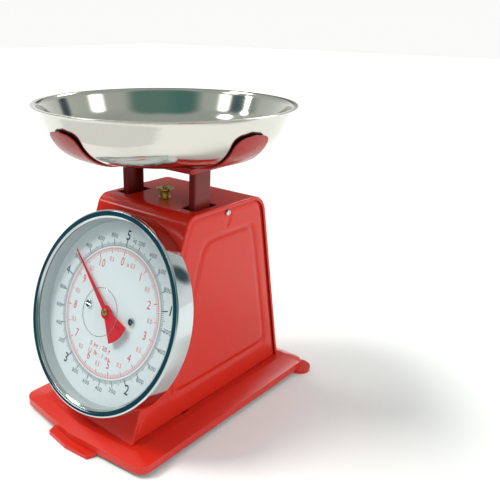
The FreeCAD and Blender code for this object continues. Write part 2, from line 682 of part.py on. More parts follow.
def build_carrier_rivets():
    """Rivets, flush above and headed below."""
    rivets = []
    for x in carrier_rivet_places():
        head_z = CROSSBAR_TOP_Z - CROSSBAR_SHEET
        shank = Part.makeCylinder(1.5, CROSSBAR_SHEET + CARRIER_SHEET, V(x, LOAD_Y, head_z))
        rivets.append(fuse([shank, Part.makeCylinder(2.8, 1.0, V(x, LOAD_Y, head_z - 1.0))]))
    return Part.makeCompound(rivets)


def bowl_edges(offset):
    """Side view of the bowl's outer face moved outwards by offset: wall, corner and base."""
    wall = radians(BOWL_WALL_ANGLE)
    out = (cos(wall) * offset, -sin(wall) * offset)
    end_r = BOWL_NECK_RADIUS - (BOWL_WALL_DROP - BOWL_NECK_DROP) * tan(wall)
    neck = V(BOWL_NECK_RADIUS + out[0], 0, BOWL_RIM_Z - BOWL_NECK_DROP + out[1])
    wall_end = V(end_r + out[0], 0, BOWL_RIM_Z - BOWL_WALL_DROP + out[1])
    radius = BOWL_CORNER + offset
    centre = V(end_r - BOWL_CORNER * cos(wall), 0, BOWL_RIM_Z - BOWL_WALL_DROP + BOWL_CORNER * sin(wall))
    flat_z = BOWL_RIM_Z - BOWL_DEPTH - offset
    last = radians(86.0)
    middle = (wall + last) / 2.0
    arc_middle = centre + V(radius * cos(middle), 0, -radius * sin(middle))
    arc_end = centre + V(radius * cos(last), 0, -radius * sin(last))
    flat = V(BOWL_FLAT_RADIUS, 0, flat_z)
    return [Part.LineSegment(neck, wall_end).toShape(), Part.Arc(wall_end, arc_middle, arc_end).toShape(),
            Part.LineSegment(arc_end, flat).toShape(), Part.LineSegment(flat, V(0, 0, flat_z)).toShape()]


def bowl_skin(inner_offset, outer_offset):
    """A thin turned shell that follows the bowl between two offsets."""
    inside, outside = bowl_edges(inner_offset), bowl_edges(outer_offset)
    top = Part.LineSegment(inside[0].Vertexes[0].Point, outside[0].Vertexes[0].Point).toShape()
    axis = Part.LineSegment(inside[-1].Vertexes[-1].Point, outside[-1].Vertexes[-1].Point).toShape()
    wire = Part.Wire(Part.__sortEdges__(inside + [axis, top] + outside))
    return Part.Face(wire).revolve(V(0, 0, 0), Z_AXIS, 360)


def build_bowl():
    """Spun bowl with a thin out-turned lip."""
    skin = bowl_skin(-BOWL_SHEET, 0.0)
    neck_z = BOWL_RIM_Z - BOWL_NECK_DROP
    wall = radians(BOWL_WALL_ANGLE)
    inner_neck = (BOWL_NECK_RADIUS - BOWL_SHEET * cos(wall), neck_z + BOWL_SHEET * sin(wall))
    lip = turned([inner_neck, (BOWL_NECK_RADIUS, neck_z), (BOWL_NECK_RADIUS + 2.2, BOWL_RIM_Z - BOWL_SHEET - 0.3),
                  (BOWL_RIM_RADIUS, BOWL_RIM_Z - BOWL_SHEET), (BOWL_RIM_RADIUS, BOWL_RIM_Z),
                  (BOWL_NECK_RADIUS + 1.6, BOWL_RIM_Z - 0.2)])
    bowl = fuse([skin, lip])
    bowl.translate(V(0, LOAD_Y, 0))
    return bowl


def build_bowl_carrier():
    """Cross of two strips whose four ends curve up round the bowl."""
    skin = bowl_skin(CARRIER_GAP, CARRIER_GAP + CARRIER_SHEET)
    shift = CROSSBAR_TOP_Z + CARRIER_SHEET - (BOWL_RIM_Z - BOWL_DEPTH - CARRIER_GAP)
    skin.translate(V(0, 0, shift))
    half = CARRIER_ARM_WIDTH / 2.0
    outline = [(-half, 200.0, 0), (half, 200.0, 0), (half, CARRIER_TIP_Z, 10.0), (-half, CARRIER_TIP_Z, 10.0)]
    strip = side_prism(outline, (-120.0, 120.0))
    across = strip.copy()
    across.rotate(V(0, 0, 0), Z_AXIS, 90)
    hub = Part.makeCylinder(CARRIER_HUB_RADIUS, 100.0, V(0, 0, 200.0))
    cross = skin.common(fuse([strip, across, hub]))
    cross = cross.Solids[0] if len(cross.Solids) == 1 else cross
    cross.rotate(V(0, 0, 0), Z_AXIS, CARRIER_TURN)
    for x in carrier_rivet_places():
        cross = cross.cut(rod(1.5, (x, 0, 200), (x, 0, 250)))
    cross.translate(V(0, LOAD_Y, 0))
    return cross


def build_load_yoke():
    """Bridge between the feet of the posts, with spring eyes and a finger towards the rack."""
    z = POST_BOTTOM_Z + 2.0
    y_range = (LOAD_Y - POST_HALF_WIDTH + SHEET, LOAD_Y + POST_HALF_WIDTH - SHEET)
    width = POST_OUTER_X - SHEET
    plate = box((-width, width), y_range, (z, z + 2.0))
    _, pin_y, pin_z = dial_point(0, DRIVE_PIN_V, DRIVE_PIN_W)
    front = box((-20.0, 20.0), (y_range[0], y_range[0] + 2.0), (pin_z - 4.0, z + 2.0))
    finger = box((9.3, 11.3), (pin_y - 4.0, y_range[0] + 1.0), (pin_z - 4.0, pin_z + 4.0))
    parts = [plate, front, finger]
    for side in (-1, 1):
        eye = box((side * SPRING_X - 0.75, side * SPRING_X + 0.75), (LOAD_Y - 4.0, LOAD_Y + 4.0),
                  (z + 1.0, SPRING_LOWER_EYE_Z + EYE_PLAY + 3.5))
        ends = [rod(1.6, (side * SPRING_X - 3, LOAD_Y, eye_z), (side * SPRING_X + 3, LOAD_Y, eye_z))
                for eye_z in (SPRING_LOWER_EYE_Z - EYE_PLAY, SPRING_LOWER_EYE_Z + EYE_PLAY)]
        middle = box((side * SPRING_X - 3, side * SPRING_X + 3), (LOAD_Y - 1.6, LOAD_Y + 1.6),
                     (SPRING_LOWER_EYE_Z - EYE_PLAY, SPRING_LOWER_EYE_Z + EYE_PLAY))
        parts.append(eye.cut(fuse(ends + [middle])))
    yoke = fuse(parts)
    return yoke.cut(rod(DRIVE_PIN_RADIUS, (5, pin_y, pin_z), (15, pin_y, pin_z)))


def build_drive_pin():
    """Cross pin in the finger that works in the slotted foot of the rack."""
    _, y, z = dial_point(0, DRIVE_PIN_V, DRIVE_PIN_W)
    return rod(DRIVE_PIN_RADIUS, (2.6, y, z), (11.3, y, z))


# ---- linkage and movement frame -------------------------------------------------------------------
def build_arm(pivot_z):
    """Stirrup that keeps the posts upright: two side bars joined by a strip, raised at rest."""
    swing = degrees(atan(TRAVEL / 2.0 / ARM_REACH))
    rear, front = PIVOT_Y, PIVOT_Y - ARM_REACH
    half = ARM_HALF_HEIGHT
    outline = [(rear + half, pivot_z - half, half * 0.98), (rear + half, pivot_z + half, half * 0.98),
               (front - half - 1, pivot_z + half, half * 0.98), (front - half - 1, pivot_z - half, half * 0.98)]
    bar = side_prism(outline, (ARM_INNER_X, ARM_INNER_X + ARM_SHEET))
    stretch = ARM_REACH / cos(radians(swing)) - ARM_REACH
    eye_half = PIN_RADIUS + CLEARANCE
    eye = side_prism([(front + eye_half, pivot_z - eye_half, eye_half * 0.98),
                      (front + eye_half, pivot_z + eye_half, eye_half * 0.98),
                      (front - stretch - eye_half, pivot_z + eye_half, eye_half * 0.98),
                      (front - stretch - eye_half, pivot_z - eye_half, eye_half * 0.98)],
                     (0, ARM_INNER_X + 5))
    bar = bar.cut(eye).cut(rod(PIN_RADIUS + 0.05, (0, rear, pivot_z), (60, rear, pivot_z)))
    strip = box((-ARM_INNER_X, ARM_INNER_X), (ARM_CROSS_Y, ARM_CROSS_Y + 3.0), (pivot_z - 3.0, pivot_z + 3.0))
    arm = fuse([bar, mirrored(bar), strip])
    arm.rotate(V(0, PIVOT_Y, pivot_z), X_AXIS, -swing)
    return arm


def build_pivot_rod(pivot_z):
    """Rod through both cheeks that an arm turns on."""
    reach = CHEEK_INNER_X + CHEEK_SHEET + 1.5
    return rod(PIN_RADIUS, (-reach, PIVOT_Y, pivot_z), (reach, PIVOT_Y, pivot_z))


def build_movement_frame():
    """Folded steel stand behind the posts: two cheeks, a rear web and a foot."""
    inner = CHEEK_INNER_X
    outer = inner + CHEEK_SHEET
    foot = box((-outer, outer), (FRAME_FOOT_Y, FRAME_REAR_Y), (DECK_Z, DECK_Z + 1.5))
    web = box((-outer, outer), (FRAME_REAR_Y - 1.5, FRAME_REAR_Y), (DECK_Z, FRAME_TOP_Z))
    window = box((-22, 22), (0, 100), (50.0, 150.0))
    cheeks = [box(sorted((side * inner, side * outer)), (FRAME_FRONT_Y, FRAME_REAR_Y), (DECK_Z, FRAME_TOP_Z))
              for side in (-1, 1)]
    frame = fuse([foot, web.cut(window)] + cheeks)
    for pivot_z in PIVOT_HEIGHTS.values():
        frame = frame.cut(build_pivot_rod(pivot_z))
    for x, y in frame_screw_places():
        frame = frame.cut(rod(1.6, (x, y, 0), (x, y, DECK_Z + 5)))
    return frame


# ---- springs and zero adjustment ------------------------------------------------------------------
def build_spring(x):
    """Close-wound tension spring with a half-round hook at each end."""
    low = SPRING_LOWER_EYE_Z + SPRING_RADIUS + 4.5
    high = SPRING_UPPER_EYE_Z - SPRING_RADIUS - 4.5
    turns = round((high - low) / SPRING_PITCH)
    coil_path = Part.makeHelix((high - low) / turns, high - low, SPRING_RADIUS)
    coil_path.translate(V(0, 0, low))
    section = Part.Wire(Part.makeCircle(SPRING_WIRE, V(SPRING_RADIUS, 0, low), Y_AXIS))
    coil = Part.Wire(coil_path).makePipeShell([section], True, True)
    parts = [coil]
    for eye_z, end_z, up in ((SPRING_LOWER_EYE_Z, low, -1), (SPRING_UPPER_EYE_Z, high, 1)):
        start = V(SPRING_RADIUS, 0, end_z + up * (SPRING_WIRE * 2 + 0.1))
        bend = V(SPRING_RADIUS, 0, eye_z - up * SPRING_RADIUS)
        crown = V(0, 0, eye_z)
        tip = V(-SPRING_RADIUS, 0, eye_z - up * SPRING_RADIUS)
        path = Part.Wire([Part.LineSegment(start, bend).toShape(), Part.Arc(bend, crown, tip).toShape()])
        hook_section = Part.Wire(Part.makeCircle(SPRING_WIRE, start, Z_AXIS))
        parts.append(path.makePipeShell([hook_section], True, True))
    spring = Part.makeCompound(parts)
    spring.translate(V(x, LOAD_Y, 0))
    return spring


def build_spring_hanger():
    """Bar that both springs hang from, with the zero screw rising out of its middle."""
    low = HANGER_BOTTOM_Z
    bar = box((-22, 22), (LOAD_Y - 5, LOAD_Y + 5), (low, low + 2.0))
    parts = [bar, rod(ZERO_SCREW_RADIUS, (0, LOAD_Y, low), (0, LOAD_Y, ZERO_SCREW_TOP_Z))]
    for side in (-1, 1):
        eye = box((side * SPRING_X - 0.75, side * SPRING_X + 0.75), (LOAD_Y - 4.0, LOAD_Y + 4.0),
                  (SPRING_UPPER_EYE_Z - 3.5, low + 1.0))
        hole = rod(1.6, (side * SPRING_X - 3, LOAD_Y, SPRING_UPPER_EYE_Z),
                   (side * SPRING_X + 3, LOAD_Y, SPRING_UPPER_EYE_Z))
        parts.append(eye.cut(hole))
    drilled = rod(1.1, (0, LOAD_Y, ZERO_SCREW_TOP_Z - 3), (0, LOAD_Y, ZERO_SCREW_TOP_Z + 1))
    return fuse(parts).cut(drilled)


def build_zero_knob():
    """Brass thumb nut with a wide flange on top."""
    bore = ZERO_SCREW_RADIUS + 0.05
    low = HOUSING_TOP_Z + 0.3
    return turned([(bore, low), (KNOB_BODY_RADIUS + 0.9, low), (KNOB_BODY_RADIUS + 0.9, low + 1.0),
                   (KNOB_BODY_RADIUS, low + 1.4), (KNOB_BODY_RADIUS, KNOB_FLANGE_Z - 1.2),
                   (KNOB_FLANGE_RADIUS, KNOB_FLANGE_Z), (KNOB_FLANGE_RADIUS, KNOB_FLANGE_Z + 1.0),
                   (KNOB_FLANGE_RADIUS - 0.5, KNOB_FLANGE_Z + 1.3), (bore, KNOB_FLANGE_Z + 1.3)],
                  V(0, LOAD_Y, 0))


def main():
    """Builds every sub-part and writes one STEP file for each."""
    post = build_post_right()
    panel = build_side_panel_right()
    parts = {
        "base_tray": build_base_tray(), "base_screws": build_base_screws(),
        "housing_shell": build_housing_shell(), "side_panel_right": panel,
        "side_panel_left": mirrored(panel), "side_screws": build_side_screws(),
        "rear_screws": build_rear_screws(), "dial_pan": build_dial_pan(), "pan_screws": build_pan_screws(),
        "dial_standoffs": build_dial_standoffs(), "dial_plate": build_dial_plate(),
        "dial_screws": build_dial_screws(), "spacer_ring": build_spacer_ring(), "lens": build_lens(),
        "bezel": build_bezel(), "pointer": build_pointer(), "pointer_cap": build_pointer_cap(),
        "pointer_shaft": build_pointer_shaft(), "pinion": build_pinion(), "rack": build_rack(),
        "gear_bracket": build_gear_bracket(), "bracket_screws": build_bracket_screws(),
        "front_bush": build_front_bush(), "rear_bush": build_rear_bush(), "post_right": post,
        "post_left": mirrored(post), "post_pins": build_post_pins(), "crossbar": build_crossbar(),
        "carrier_rivets": build_carrier_rivets(), "bowl_carrier": build_bowl_carrier(), "bowl": build_bowl(),
        "load_yoke": build_load_yoke(), "drive_pin": build_drive_pin(),
        "movement_frame": build_movement_frame(), "spring_left": build_spring(-SPRING_X),
        "spring_right": build_spring(SPRING_X), "spring_hanger": build_spring_hanger(),
        "zero_knob": build_zero_knob(),
    }
    for name, pivot_z in PIVOT_HEIGHTS.items():
        parts[name + "_arm"] = build_arm(pivot_z)
        parts[name + "_pivot_rod"] = build_pivot_rod(pivot_z)
    os.makedirs("parts", exist_ok=True)
    for name, shape in parts.items():
        shape.exportStep("parts/" + name + ".step")
        bounds = shape.BoundBox
        print("%-18s solids %d valid %s volume %9.1f  x %.1f %.1f  y %.1f %.1f  z %.1f %.1f" % (
            name, len(shape.Solids), shape.isValid(), shape.Volume, bounds.XMin, bounds.XMax,
            bounds.YMin, bounds.YMax, bounds.ZMin, bounds.ZMax))


main()
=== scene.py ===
"""Looks of a spring-loaded kitchen scale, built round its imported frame.

Lengths in this file are in millimetres until a mesh is made, where they become metres.  The dial
has a frame of its own: x across, v up the leaning face, w out of it, with its origin where the
pointer shaft leaves the housing.
"""
import json
import logging
import math
from dataclasses import dataclass
from enum import Enum
from typing import Callable, Optional, Sequence, Union

import bmesh
import bpy
import numpy as np
from mathutils import Matrix, Vector


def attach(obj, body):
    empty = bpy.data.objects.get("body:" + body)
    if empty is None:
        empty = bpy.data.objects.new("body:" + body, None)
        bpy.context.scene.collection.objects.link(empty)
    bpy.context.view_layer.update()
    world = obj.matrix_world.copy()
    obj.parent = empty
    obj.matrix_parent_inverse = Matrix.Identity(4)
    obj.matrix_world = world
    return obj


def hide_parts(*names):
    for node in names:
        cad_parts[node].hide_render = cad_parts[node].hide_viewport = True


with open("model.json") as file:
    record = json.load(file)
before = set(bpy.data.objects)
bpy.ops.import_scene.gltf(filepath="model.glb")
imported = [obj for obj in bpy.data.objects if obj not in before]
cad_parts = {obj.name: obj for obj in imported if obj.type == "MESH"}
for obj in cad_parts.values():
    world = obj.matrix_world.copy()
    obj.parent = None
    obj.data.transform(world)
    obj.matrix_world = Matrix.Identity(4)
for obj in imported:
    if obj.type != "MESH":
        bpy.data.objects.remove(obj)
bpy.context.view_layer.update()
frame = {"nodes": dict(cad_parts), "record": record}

MM = 0.001
LOG = logging.getLogger("kitchen_scale")
Point2 = tuple[float, float]
Corner = tuple[float, float, float]
Colour = tuple[float, float, float]
Value = Union[float, Sequence[float], bpy.types.NodeSocket]

FLAT_ANGLE = 1.0      # degrees under which two neighbouring facets are one flat face
BEND_ANGLE = 9.0      # degrees from which a chosen edge counts as a pressed bend
CORNER_ANGLE = 30.0   # degrees from which any other edge is rounded


class Body(Enum):
    """Rigid bodies that a piece can ride on."""

    HOUSING = "housing"
    LOAD_FRAME = "load_frame"
    BOWL = "bowl"
    POINTER = "pointer"
    ZERO_KNOB = "zero_knob"


class Slot(Enum):
    """Material slots of the record."""

    RED_PAINT = "red_paint"
    STAINLESS = "stainless"
    CHROME = "chrome"
    BRASS = "brass"
    BLACK_INK = "black_ink"
    RED_INK = "red_ink"
    PLASTIC = "white_plastic"
    CLEAR = "clear"


# ---- finishes --------------------------------------------
def add_node(tree: bpy.types.NodeTree, kind: str, inputs: dict[str, Value],
             **settings: str) -> bpy.types.Node:
    """Adds a shader node.

    Args:
        tree: Node tree that is being built.
        kind: Type of the node.
        inputs: For each named input a constant, or another node's output to link to it.
        **settings: Properties of the node, set before its inputs.

    Returns:
        The new node.
    """
    node = tree.nodes.new(kind)
    for key, choice in settings.items():
        setattr(node, key, choice)
    for key, value in inputs.items():
        if isinstance(value, bpy.types.NodeSocket):
            tree.links.new(value, node.inputs[key])
        else:
            node.inputs[key].default_value = value
    return node


@dataclass(frozen=True)
class Finish:
    """A painted, plated, moulded or printed surface.

    Its colour drifts softly between two near shades, its roughness varies a little, and a fine
    bump gives it the texture of its making.
    """

    name: str
    colour: Colour
    drift: Colour
    metallic: float = 0.0
    roughness: float = 0.4
    rough_spread: float = 0.05
    drift_scale: float = 14.0
    grain_scale: float = 900.0
    grain: float = 0.05
    coat: float = 0.0
    coat_roughness: float = 0.03
    ior: float = 1.5

    def build(self) -> bpy.types.Material:
        """Makes the node material once and hands back the same one afterwards.

        Returns:
            The Blender material of this finish.
        """
        known = bpy.data.materials.get(self.name)
        if known is not None:
            return known
        material = bpy.data.materials.new(self.name)
        material.use_nodes = True
        tree = material.node_tree
        shader = tree.nodes["Principled BSDF"]
        shader.inputs["Metallic"].default_value = self.metallic
        shader.inputs["IOR"].default_value = self.ior
        shader.inputs["Coat Weight"].default_value = self.coat
        shader.inputs["Coat Roughness"].default_value = self.coat_roughness
        place = tree.nodes.new("ShaderNodeTexCoord").outputs["Object"]
        blend = add_node(tree, "ShaderNodeMix", {
            "Factor": self.noise(tree, place, self.drift_scale, 3.0),
            "A": (*self.colour, 1.0), "B": (*self.drift, 1.0)}, data_type="RGBA")
        tree.links.new(blend.outputs["Result"], shader.inputs["Base Color"])
        spread = add_node(tree, "ShaderNodeMapRange", {
            "Value": self.noise(tree, place, self.drift_scale * 3.0, 4.0),
            "From Min": 0.3, "From Max": 0.7,
            "To Min": max(self.roughness - self.rough_spread, 0.0),
            "To Max": self.roughness + self.rough_spread})
        tree.links.new(spread.outputs["Result"], shader.inputs["Roughness"])
        self.add_bump(tree, place, shader)
        return material

    def add_bump(self, tree: bpy.types.NodeTree, place: bpy.types.NodeSocket,
                 shader: bpy.types.Node) -> None:
        """Adds the fine texture of the surface.

        Args:
            tree: Node tree that is being built.
            place: Socket that gives the object coordinates.
            shader: Principled shader that receives the normal.
        """
        bump = add_node(tree, "ShaderNodeBump", {
            "Strength": self.grain, "Distance": 0.2 * MM,
            "Height": self.noise(tree, place, self.grain_scale, 2.0)})
        tree.links.new(bump.outputs["Normal"], shader.inputs["Normal"])

    @staticmethod
    def noise(tree: bpy.types.NodeTree, place: bpy.types.NodeSocket, scale: float,
              detail: float) -> bpy.types.NodeSocket:
        """Adds a noise texture on object coordinates.

        Args:
            tree: Node tree that is being built.
            place: Socket that gives the coordinates.
            scale: Waves per metre.
            detail: Octaves of finer noise.

        Returns:
            The socket that gives the noise value.
        """
        return add_node(tree, "ShaderNodeTexNoise", {
            "Vector": place, "Scale": scale, "Detail": detail}).outputs["Fac"]


@dataclass(frozen=True)
class SpunFinish(Finish):
    """Sheet metal spun or turned about an upright axis: the bump runs in fine rings."""

    axis_y: float = 0.0

    def add_bump(self, tree: bpy.types.NodeTree, place: bpy.types.NodeSocket,
                 shader: bpy.types.Node) -> None:
        """Adds rings: the height is a wave over the distance from the axis, broken up by noise."""
        centre = add_node(tree, "ShaderNodeMapping", {
            "Vector": place, "Location": (0.0, -self.axis_y * MM, 0.0)})
        wave = add_node(tree, "ShaderNodeTexWave", {
            "Vector": centre.outputs["Vector"], "Scale": self.grain_scale, "Distortion": 1.5,
            "Detail": 2.0}, wave_type="RINGS", rings_direction="Z")
        bump = add_node(tree, "ShaderNodeBump", {
            "Strength": self.grain, "Distance": 0.1 * MM, "Height": wave.outputs["Fac"]})
        tree.links.new(bump.outputs["Normal"], shader.inputs["Normal"])


@dataclass(frozen=True)
class ClearFinish(Finish):
    """Clear moulded plastic: mostly see-through, with a small even share of gloss."""

    gloss: float = 0.05

    def build(self) -> bpy.types.Material:
        """Mixes a see-through and a glossy shader by a fixed share.

        Returns:
            The Blender material of this finish.
        """
        material = bpy.data.materials.new(self.name)
        material.use_nodes = True
        tree = material.node_tree
        tree.nodes.remove(tree.nodes["Principled BSDF"])
        see_through = add_node(tree, "ShaderNodeBsdfTransparent", {"Color": (*self.colour, 1.0)})
        shine = add_node(tree, "ShaderNodeBsdfGlossy", {"Roughness": self.roughness})
        mix = tree.nodes.new("ShaderNodeMixShader")
        mix.inputs["Fac"].default_value = self.gloss
        tree.links.new(see_through.outputs["BSDF"], mix.inputs[1])
        tree.links.new(shine.outputs["BSDF"], mix.inputs[2])
        tree.links.new(mix.outputs["Shader"], tree.nodes["Material Output"].inputs["Surface"])
        return material


@dataclass(frozen=True)
class Enamel(Finish):
    """Stoved paint on pressed sheet: even, with a thin gloss coat and a trace of orange peel."""

    roughness: float = 0.24
    rough_spread: float = 0.02
    grain_scale: float = 420.0
    grain: float = 0.035
    coat: float = 0.2
    coat_roughness: float = 0.05
    ior: float = 1.35


SCARLET = Enamel("scarlet_enamel", (0.585, 0.020, 0.009), (0.54, 0.017, 0.008), drift_scale=5.0)
# The red enamel darkened: painted shade for the bowl cross and the crossbar, which sit in the
# bowl's shadow.
RED_ENAMEL_HALF_SHADE = Enamel("red_enamel_painted_half_shade", (0.36, 0.014, 0.009), (0.30, 0.012, 0.008), roughness=0.26,
                 drift_scale=7.0)
# The red enamel darkened further: painted shade for the parts on the dark red paint slot.
RED_ENAMEL_DEEP_SHADE = Enamel("red_enamel_painted_deep_shade", (0.19, 0.014, 0.009), (0.12, 0.008, 0.006), roughness=0.30,
                 drift_scale=9.0, grain=0.04, coat=0.15, coat_roughness=0.06, ior=1.33)
POLISHED = SpunFinish("polished_stainless", (0.66, 0.645, 0.59), (0.62, 0.615, 0.565), metallic=1.0,
                      roughness=0.10, rough_spread=0.02, grain_scale=260.0, grain=0.04, axis_y=-5.5)
CHROME = Finish("bright_chrome", (0.62, 0.665, 0.67), (0.59, 0.64, 0.65), metallic=1.0,
                roughness=0.07, rough_spread=0.02, grain_scale=500.0, grain=0.015)
BRASS = Finish("olive_brass", (0.50, 0.40, 0.10), (0.36, 0.31, 0.08), metallic=1.0,
               roughness=0.28, rough_spread=0.08, drift_scale=120.0, grain_scale=1200.0, grain=0.12)
ZINC = Finish("zinc_plate", (0.55, 0.56, 0.57), (0.44, 0.46, 0.48), metallic=1.0, roughness=0.34,
              rough_spread=0.08, drift_scale=60.0, grain_scale=1100.0, grain=0.1)
SPRING_STEEL = Finish("spring_steel", (0.36, 0.37, 0.39), (0.28, 0.29, 0.31), metallic=1.0,
                      roughness=0.3, drift_scale=80.0)
DIAL_WHITE = Finish("dial_white", (0.74, 0.78, 0.80), (0.70, 0.75, 0.78), roughness=0.45,
                    drift_scale=30.0, grain_scale=1600.0, grain=0.03)
# White plastic coloured grey: painted shade of the recessed wall inside the bezel.
SHADED_RING_WHITE = Finish("ring_white_painted_shade", (0.42, 0.46, 0.465), (0.38, 0.42, 0.43), roughness=0.35,
                    drift_scale=40.0, grain_scale=900.0, grain=0.05)
BLACK_INK = Finish("black_ink", (0.012, 0.03, 0.035), (0.02, 0.04, 0.05), roughness=0.5,
                   drift_scale=300.0)
RED_INK = Finish("red_ink", (0.62, 0.055, 0.06), (0.70, 0.11, 0.12), roughness=0.5,
                 drift_scale=300.0)
POINTER_RED = Finish("pointer_red", (0.66, 0.02, 0.03), (0.58, 0.018, 0.025), roughness=0.3,
                     drift_scale=40.0, grain_scale=1200.0, grain=0.06, coat=0.3)
CLEAR = ClearFinish("clear_lens", (0.985, 0.995, 0.995), (1.0, 1.0, 1.0), roughness=0.02)
MOULD_EDGE = ClearFinish("clear_mould_edge", (0.80, 0.84, 0.85), (1.0, 1.0, 1.0), roughness=0.08,
                         gloss=0.14)
# Nearly black paint for the cross's faces towards the bowl: painted shade of the gap and painted
# dark reflection of the bowl.
GAP_SHADE = Finish("painted_gap_shade", (0.030, 0.008, 0.007), (0.022, 0.007, 0.006),
                   roughness=0.45, drift_scale=9.0, grain_scale=420.0, coat=0.1)


# ---- mesh helpers ----------------------------------------
def grid_faces(rows: int, columns: int, close_rows: bool, close_columns: bool) -> np.ndarray:
    """Quads of a grid of points numbered row by row.

    Args:
        rows: Points along the first parameter.
        columns: Points along the second parameter.
        close_rows: Whether the last row joins the first.
        close_columns: Whether the last column joins the first.

    Returns:
        An array of four point numbers for each quad.
    """
    row = np.arange(rows if close_rows else rows - 1)
    column = np.arange(columns if close_columns else columns - 1)
    here, there = np.meshgrid(row, column, indexing="ij")
    below, beside = (here + 1) % rows, (there + 1) % columns
    quads = [here * columns + there, here * columns + beside, below * columns + beside,
             below * columns + there]
    return np.stack(quads, axis=-1).reshape(-1, 4)


def rounded_path(corners: Sequence[Corner], closed: bool, steps: int = 6) -> np.ndarray:
    """A polyline with its corners turned into arcs.

    Each corner is (a, b, radius).  The arc touches both sides at radius / tan(half the inner
    angle) from the corner, and its points are spread evenly by angle round its centre.

    Args:
        corners: Corners in order, each with its radius.
        closed: Whether the last corner joins the first.
        steps: Spans in each arc.

    Returns:
        An array of two-dimensional points.
    """
    points = np.array([c[:2] for c in corners], float)
    pieces = []
    for index, (_, _, radius) in enumerate(corners):
        here = points[index]
        inner = closed or 0 < index < len(corners) - 1
        if radius <= 0.0 or not inner:
            pieces.append(here[None, :])
            continue
        back = points[index - 1] - here
        ahead = points[(index + 1) % len(points)] - here
        back, ahead = back / np.linalg.norm(back), ahead / np.linalg.norm(ahead)
        half = math.acos(np.clip(back @ ahead, -1.0, 1.0)) / 2.0
        centre = here + (back + ahead) / np.linalg.norm(back + ahead) * radius / math.sin(half)
        first = here + back * radius / math.tan(half) - centre
        last = here + ahead * radius / math.tan(half) - centre
        turn = math.atan2(first[0] * last[1] - first[1] * last[0], first @ last)
        angle = np.linspace(0.0, turn, steps + 1)
        cosine, sine = np.cos(angle), np.sin(angle)
        pieces.append(centre + np.stack([first[0] * cosine - first[1] * sine,
                                         first[0] * sine + first[1] * cosine], axis=-1))
    return np.concatenate(pieces)


def show(name: str, mesh: bpy.types.Mesh) -> bpy.types.Object:
    """Puts a mesh into the scene as an object at the origin."""
    piece = bpy.data.objects.new(name, mesh)
    bpy.context.scene.collection.objects.link(piece)
    return piece


def as_object(name: str, points: np.ndarray, faces: Sequence[Sequence[int]]) -> bpy.types.Object:
    """Puts points in millimetres and faces into a closed mesh that faces outwards.

    Args:
        name: Name of the object and its mesh.
        points: Array of points in the scale's frame.
        faces: Point numbers of each face.

    Returns:
        The new object, at the origin.
    """
    mesh = bpy.data.meshes.new(name)
    mesh.from_pydata((points.reshape(-1, 3) * MM).tolist(), [], [list(map(int, f)) for f in faces])
    tidy = bmesh.new()
    tidy.from_mesh(mesh)
    bmesh.ops.remove_doubles(tidy, verts=tidy.verts, dist=1e-7)
    bmesh.ops.dissolve_degenerate(tidy, dist=1e-8, edges=tidy.edges)
    bmesh.ops.recalc_face_normals(tidy, faces=tidy.faces)
    tidy.to_mesh(mesh)
    tidy.free()
    return show(name, mesh)


def turned(profile: np.ndarray, segments: int) -> np.ndarray:
    """Points (r cos t, r sin t, height) of a closed (r, height) loop carried round an axis."""
    angle = np.linspace(0.0, 2.0 * np.pi, segments, endpoint=False)
    radius, height = profile[:, :1], profile[:, 1:]
    return np.stack([radius * np.cos(angle), radius * np.sin(angle),
                     np.broadcast_to(height, (len(profile), segments))], axis=-1)


def lathe(name: str, profile: np.ndarray, centre: Point2, segments: int = 192) -> bpy.types.Object:
    """A body turned about an upright axis.

    The point at (profile i, angle t) is (centre + r_i (cos t, sin t), z_i); the profile is a
    closed loop, and any part of it on the axis closes to a pole.

    Args:
        name: Name of the piece.
        profile: Closed loop of (radius, height).
        centre: Plan position of the axis.
        segments: Steps round the axis.

    Returns:
        The new object.
    """
    points = turned(profile, segments) + [*centre, 0.0]
    return as_object(name, points, grid_faces(len(profile), segments, True, True))


def smooth(piece: bpy.types.Object, angle: float = 35.0) -> None:
    """Shades a piece smooth, leaving edges sharper than angle degrees crisp."""
    mesh = piece.data
    mesh.polygons.foreach_set("use_smooth", [True] * len(mesh.polygons))
    mesh.set_sharp_from_angle(angle=math.radians(angle))


def finish_piece(piece: bpy.types.Object, finish: Finish, body: Body,
                 replaced: Sequence[str] = ()) -> bpy.types.Object:
    """Gives a piece its finish and its body, and reports it.

    Args:
        piece: Object that is in place.
        finish: Surface finish.
        body: Rigid body that carries it.
        replaced: CAD nodes that it stands for.

    Returns:
        The same object.
    """
    piece.data.materials.clear()
    piece.data.materials.append(finish.build())
    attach(piece, body.value)
    if replaced:
        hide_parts(*replaced)
    LOG.info("%s: %d faces on %s", piece.name, len(piece.data.polygons), body.value)
    return piece


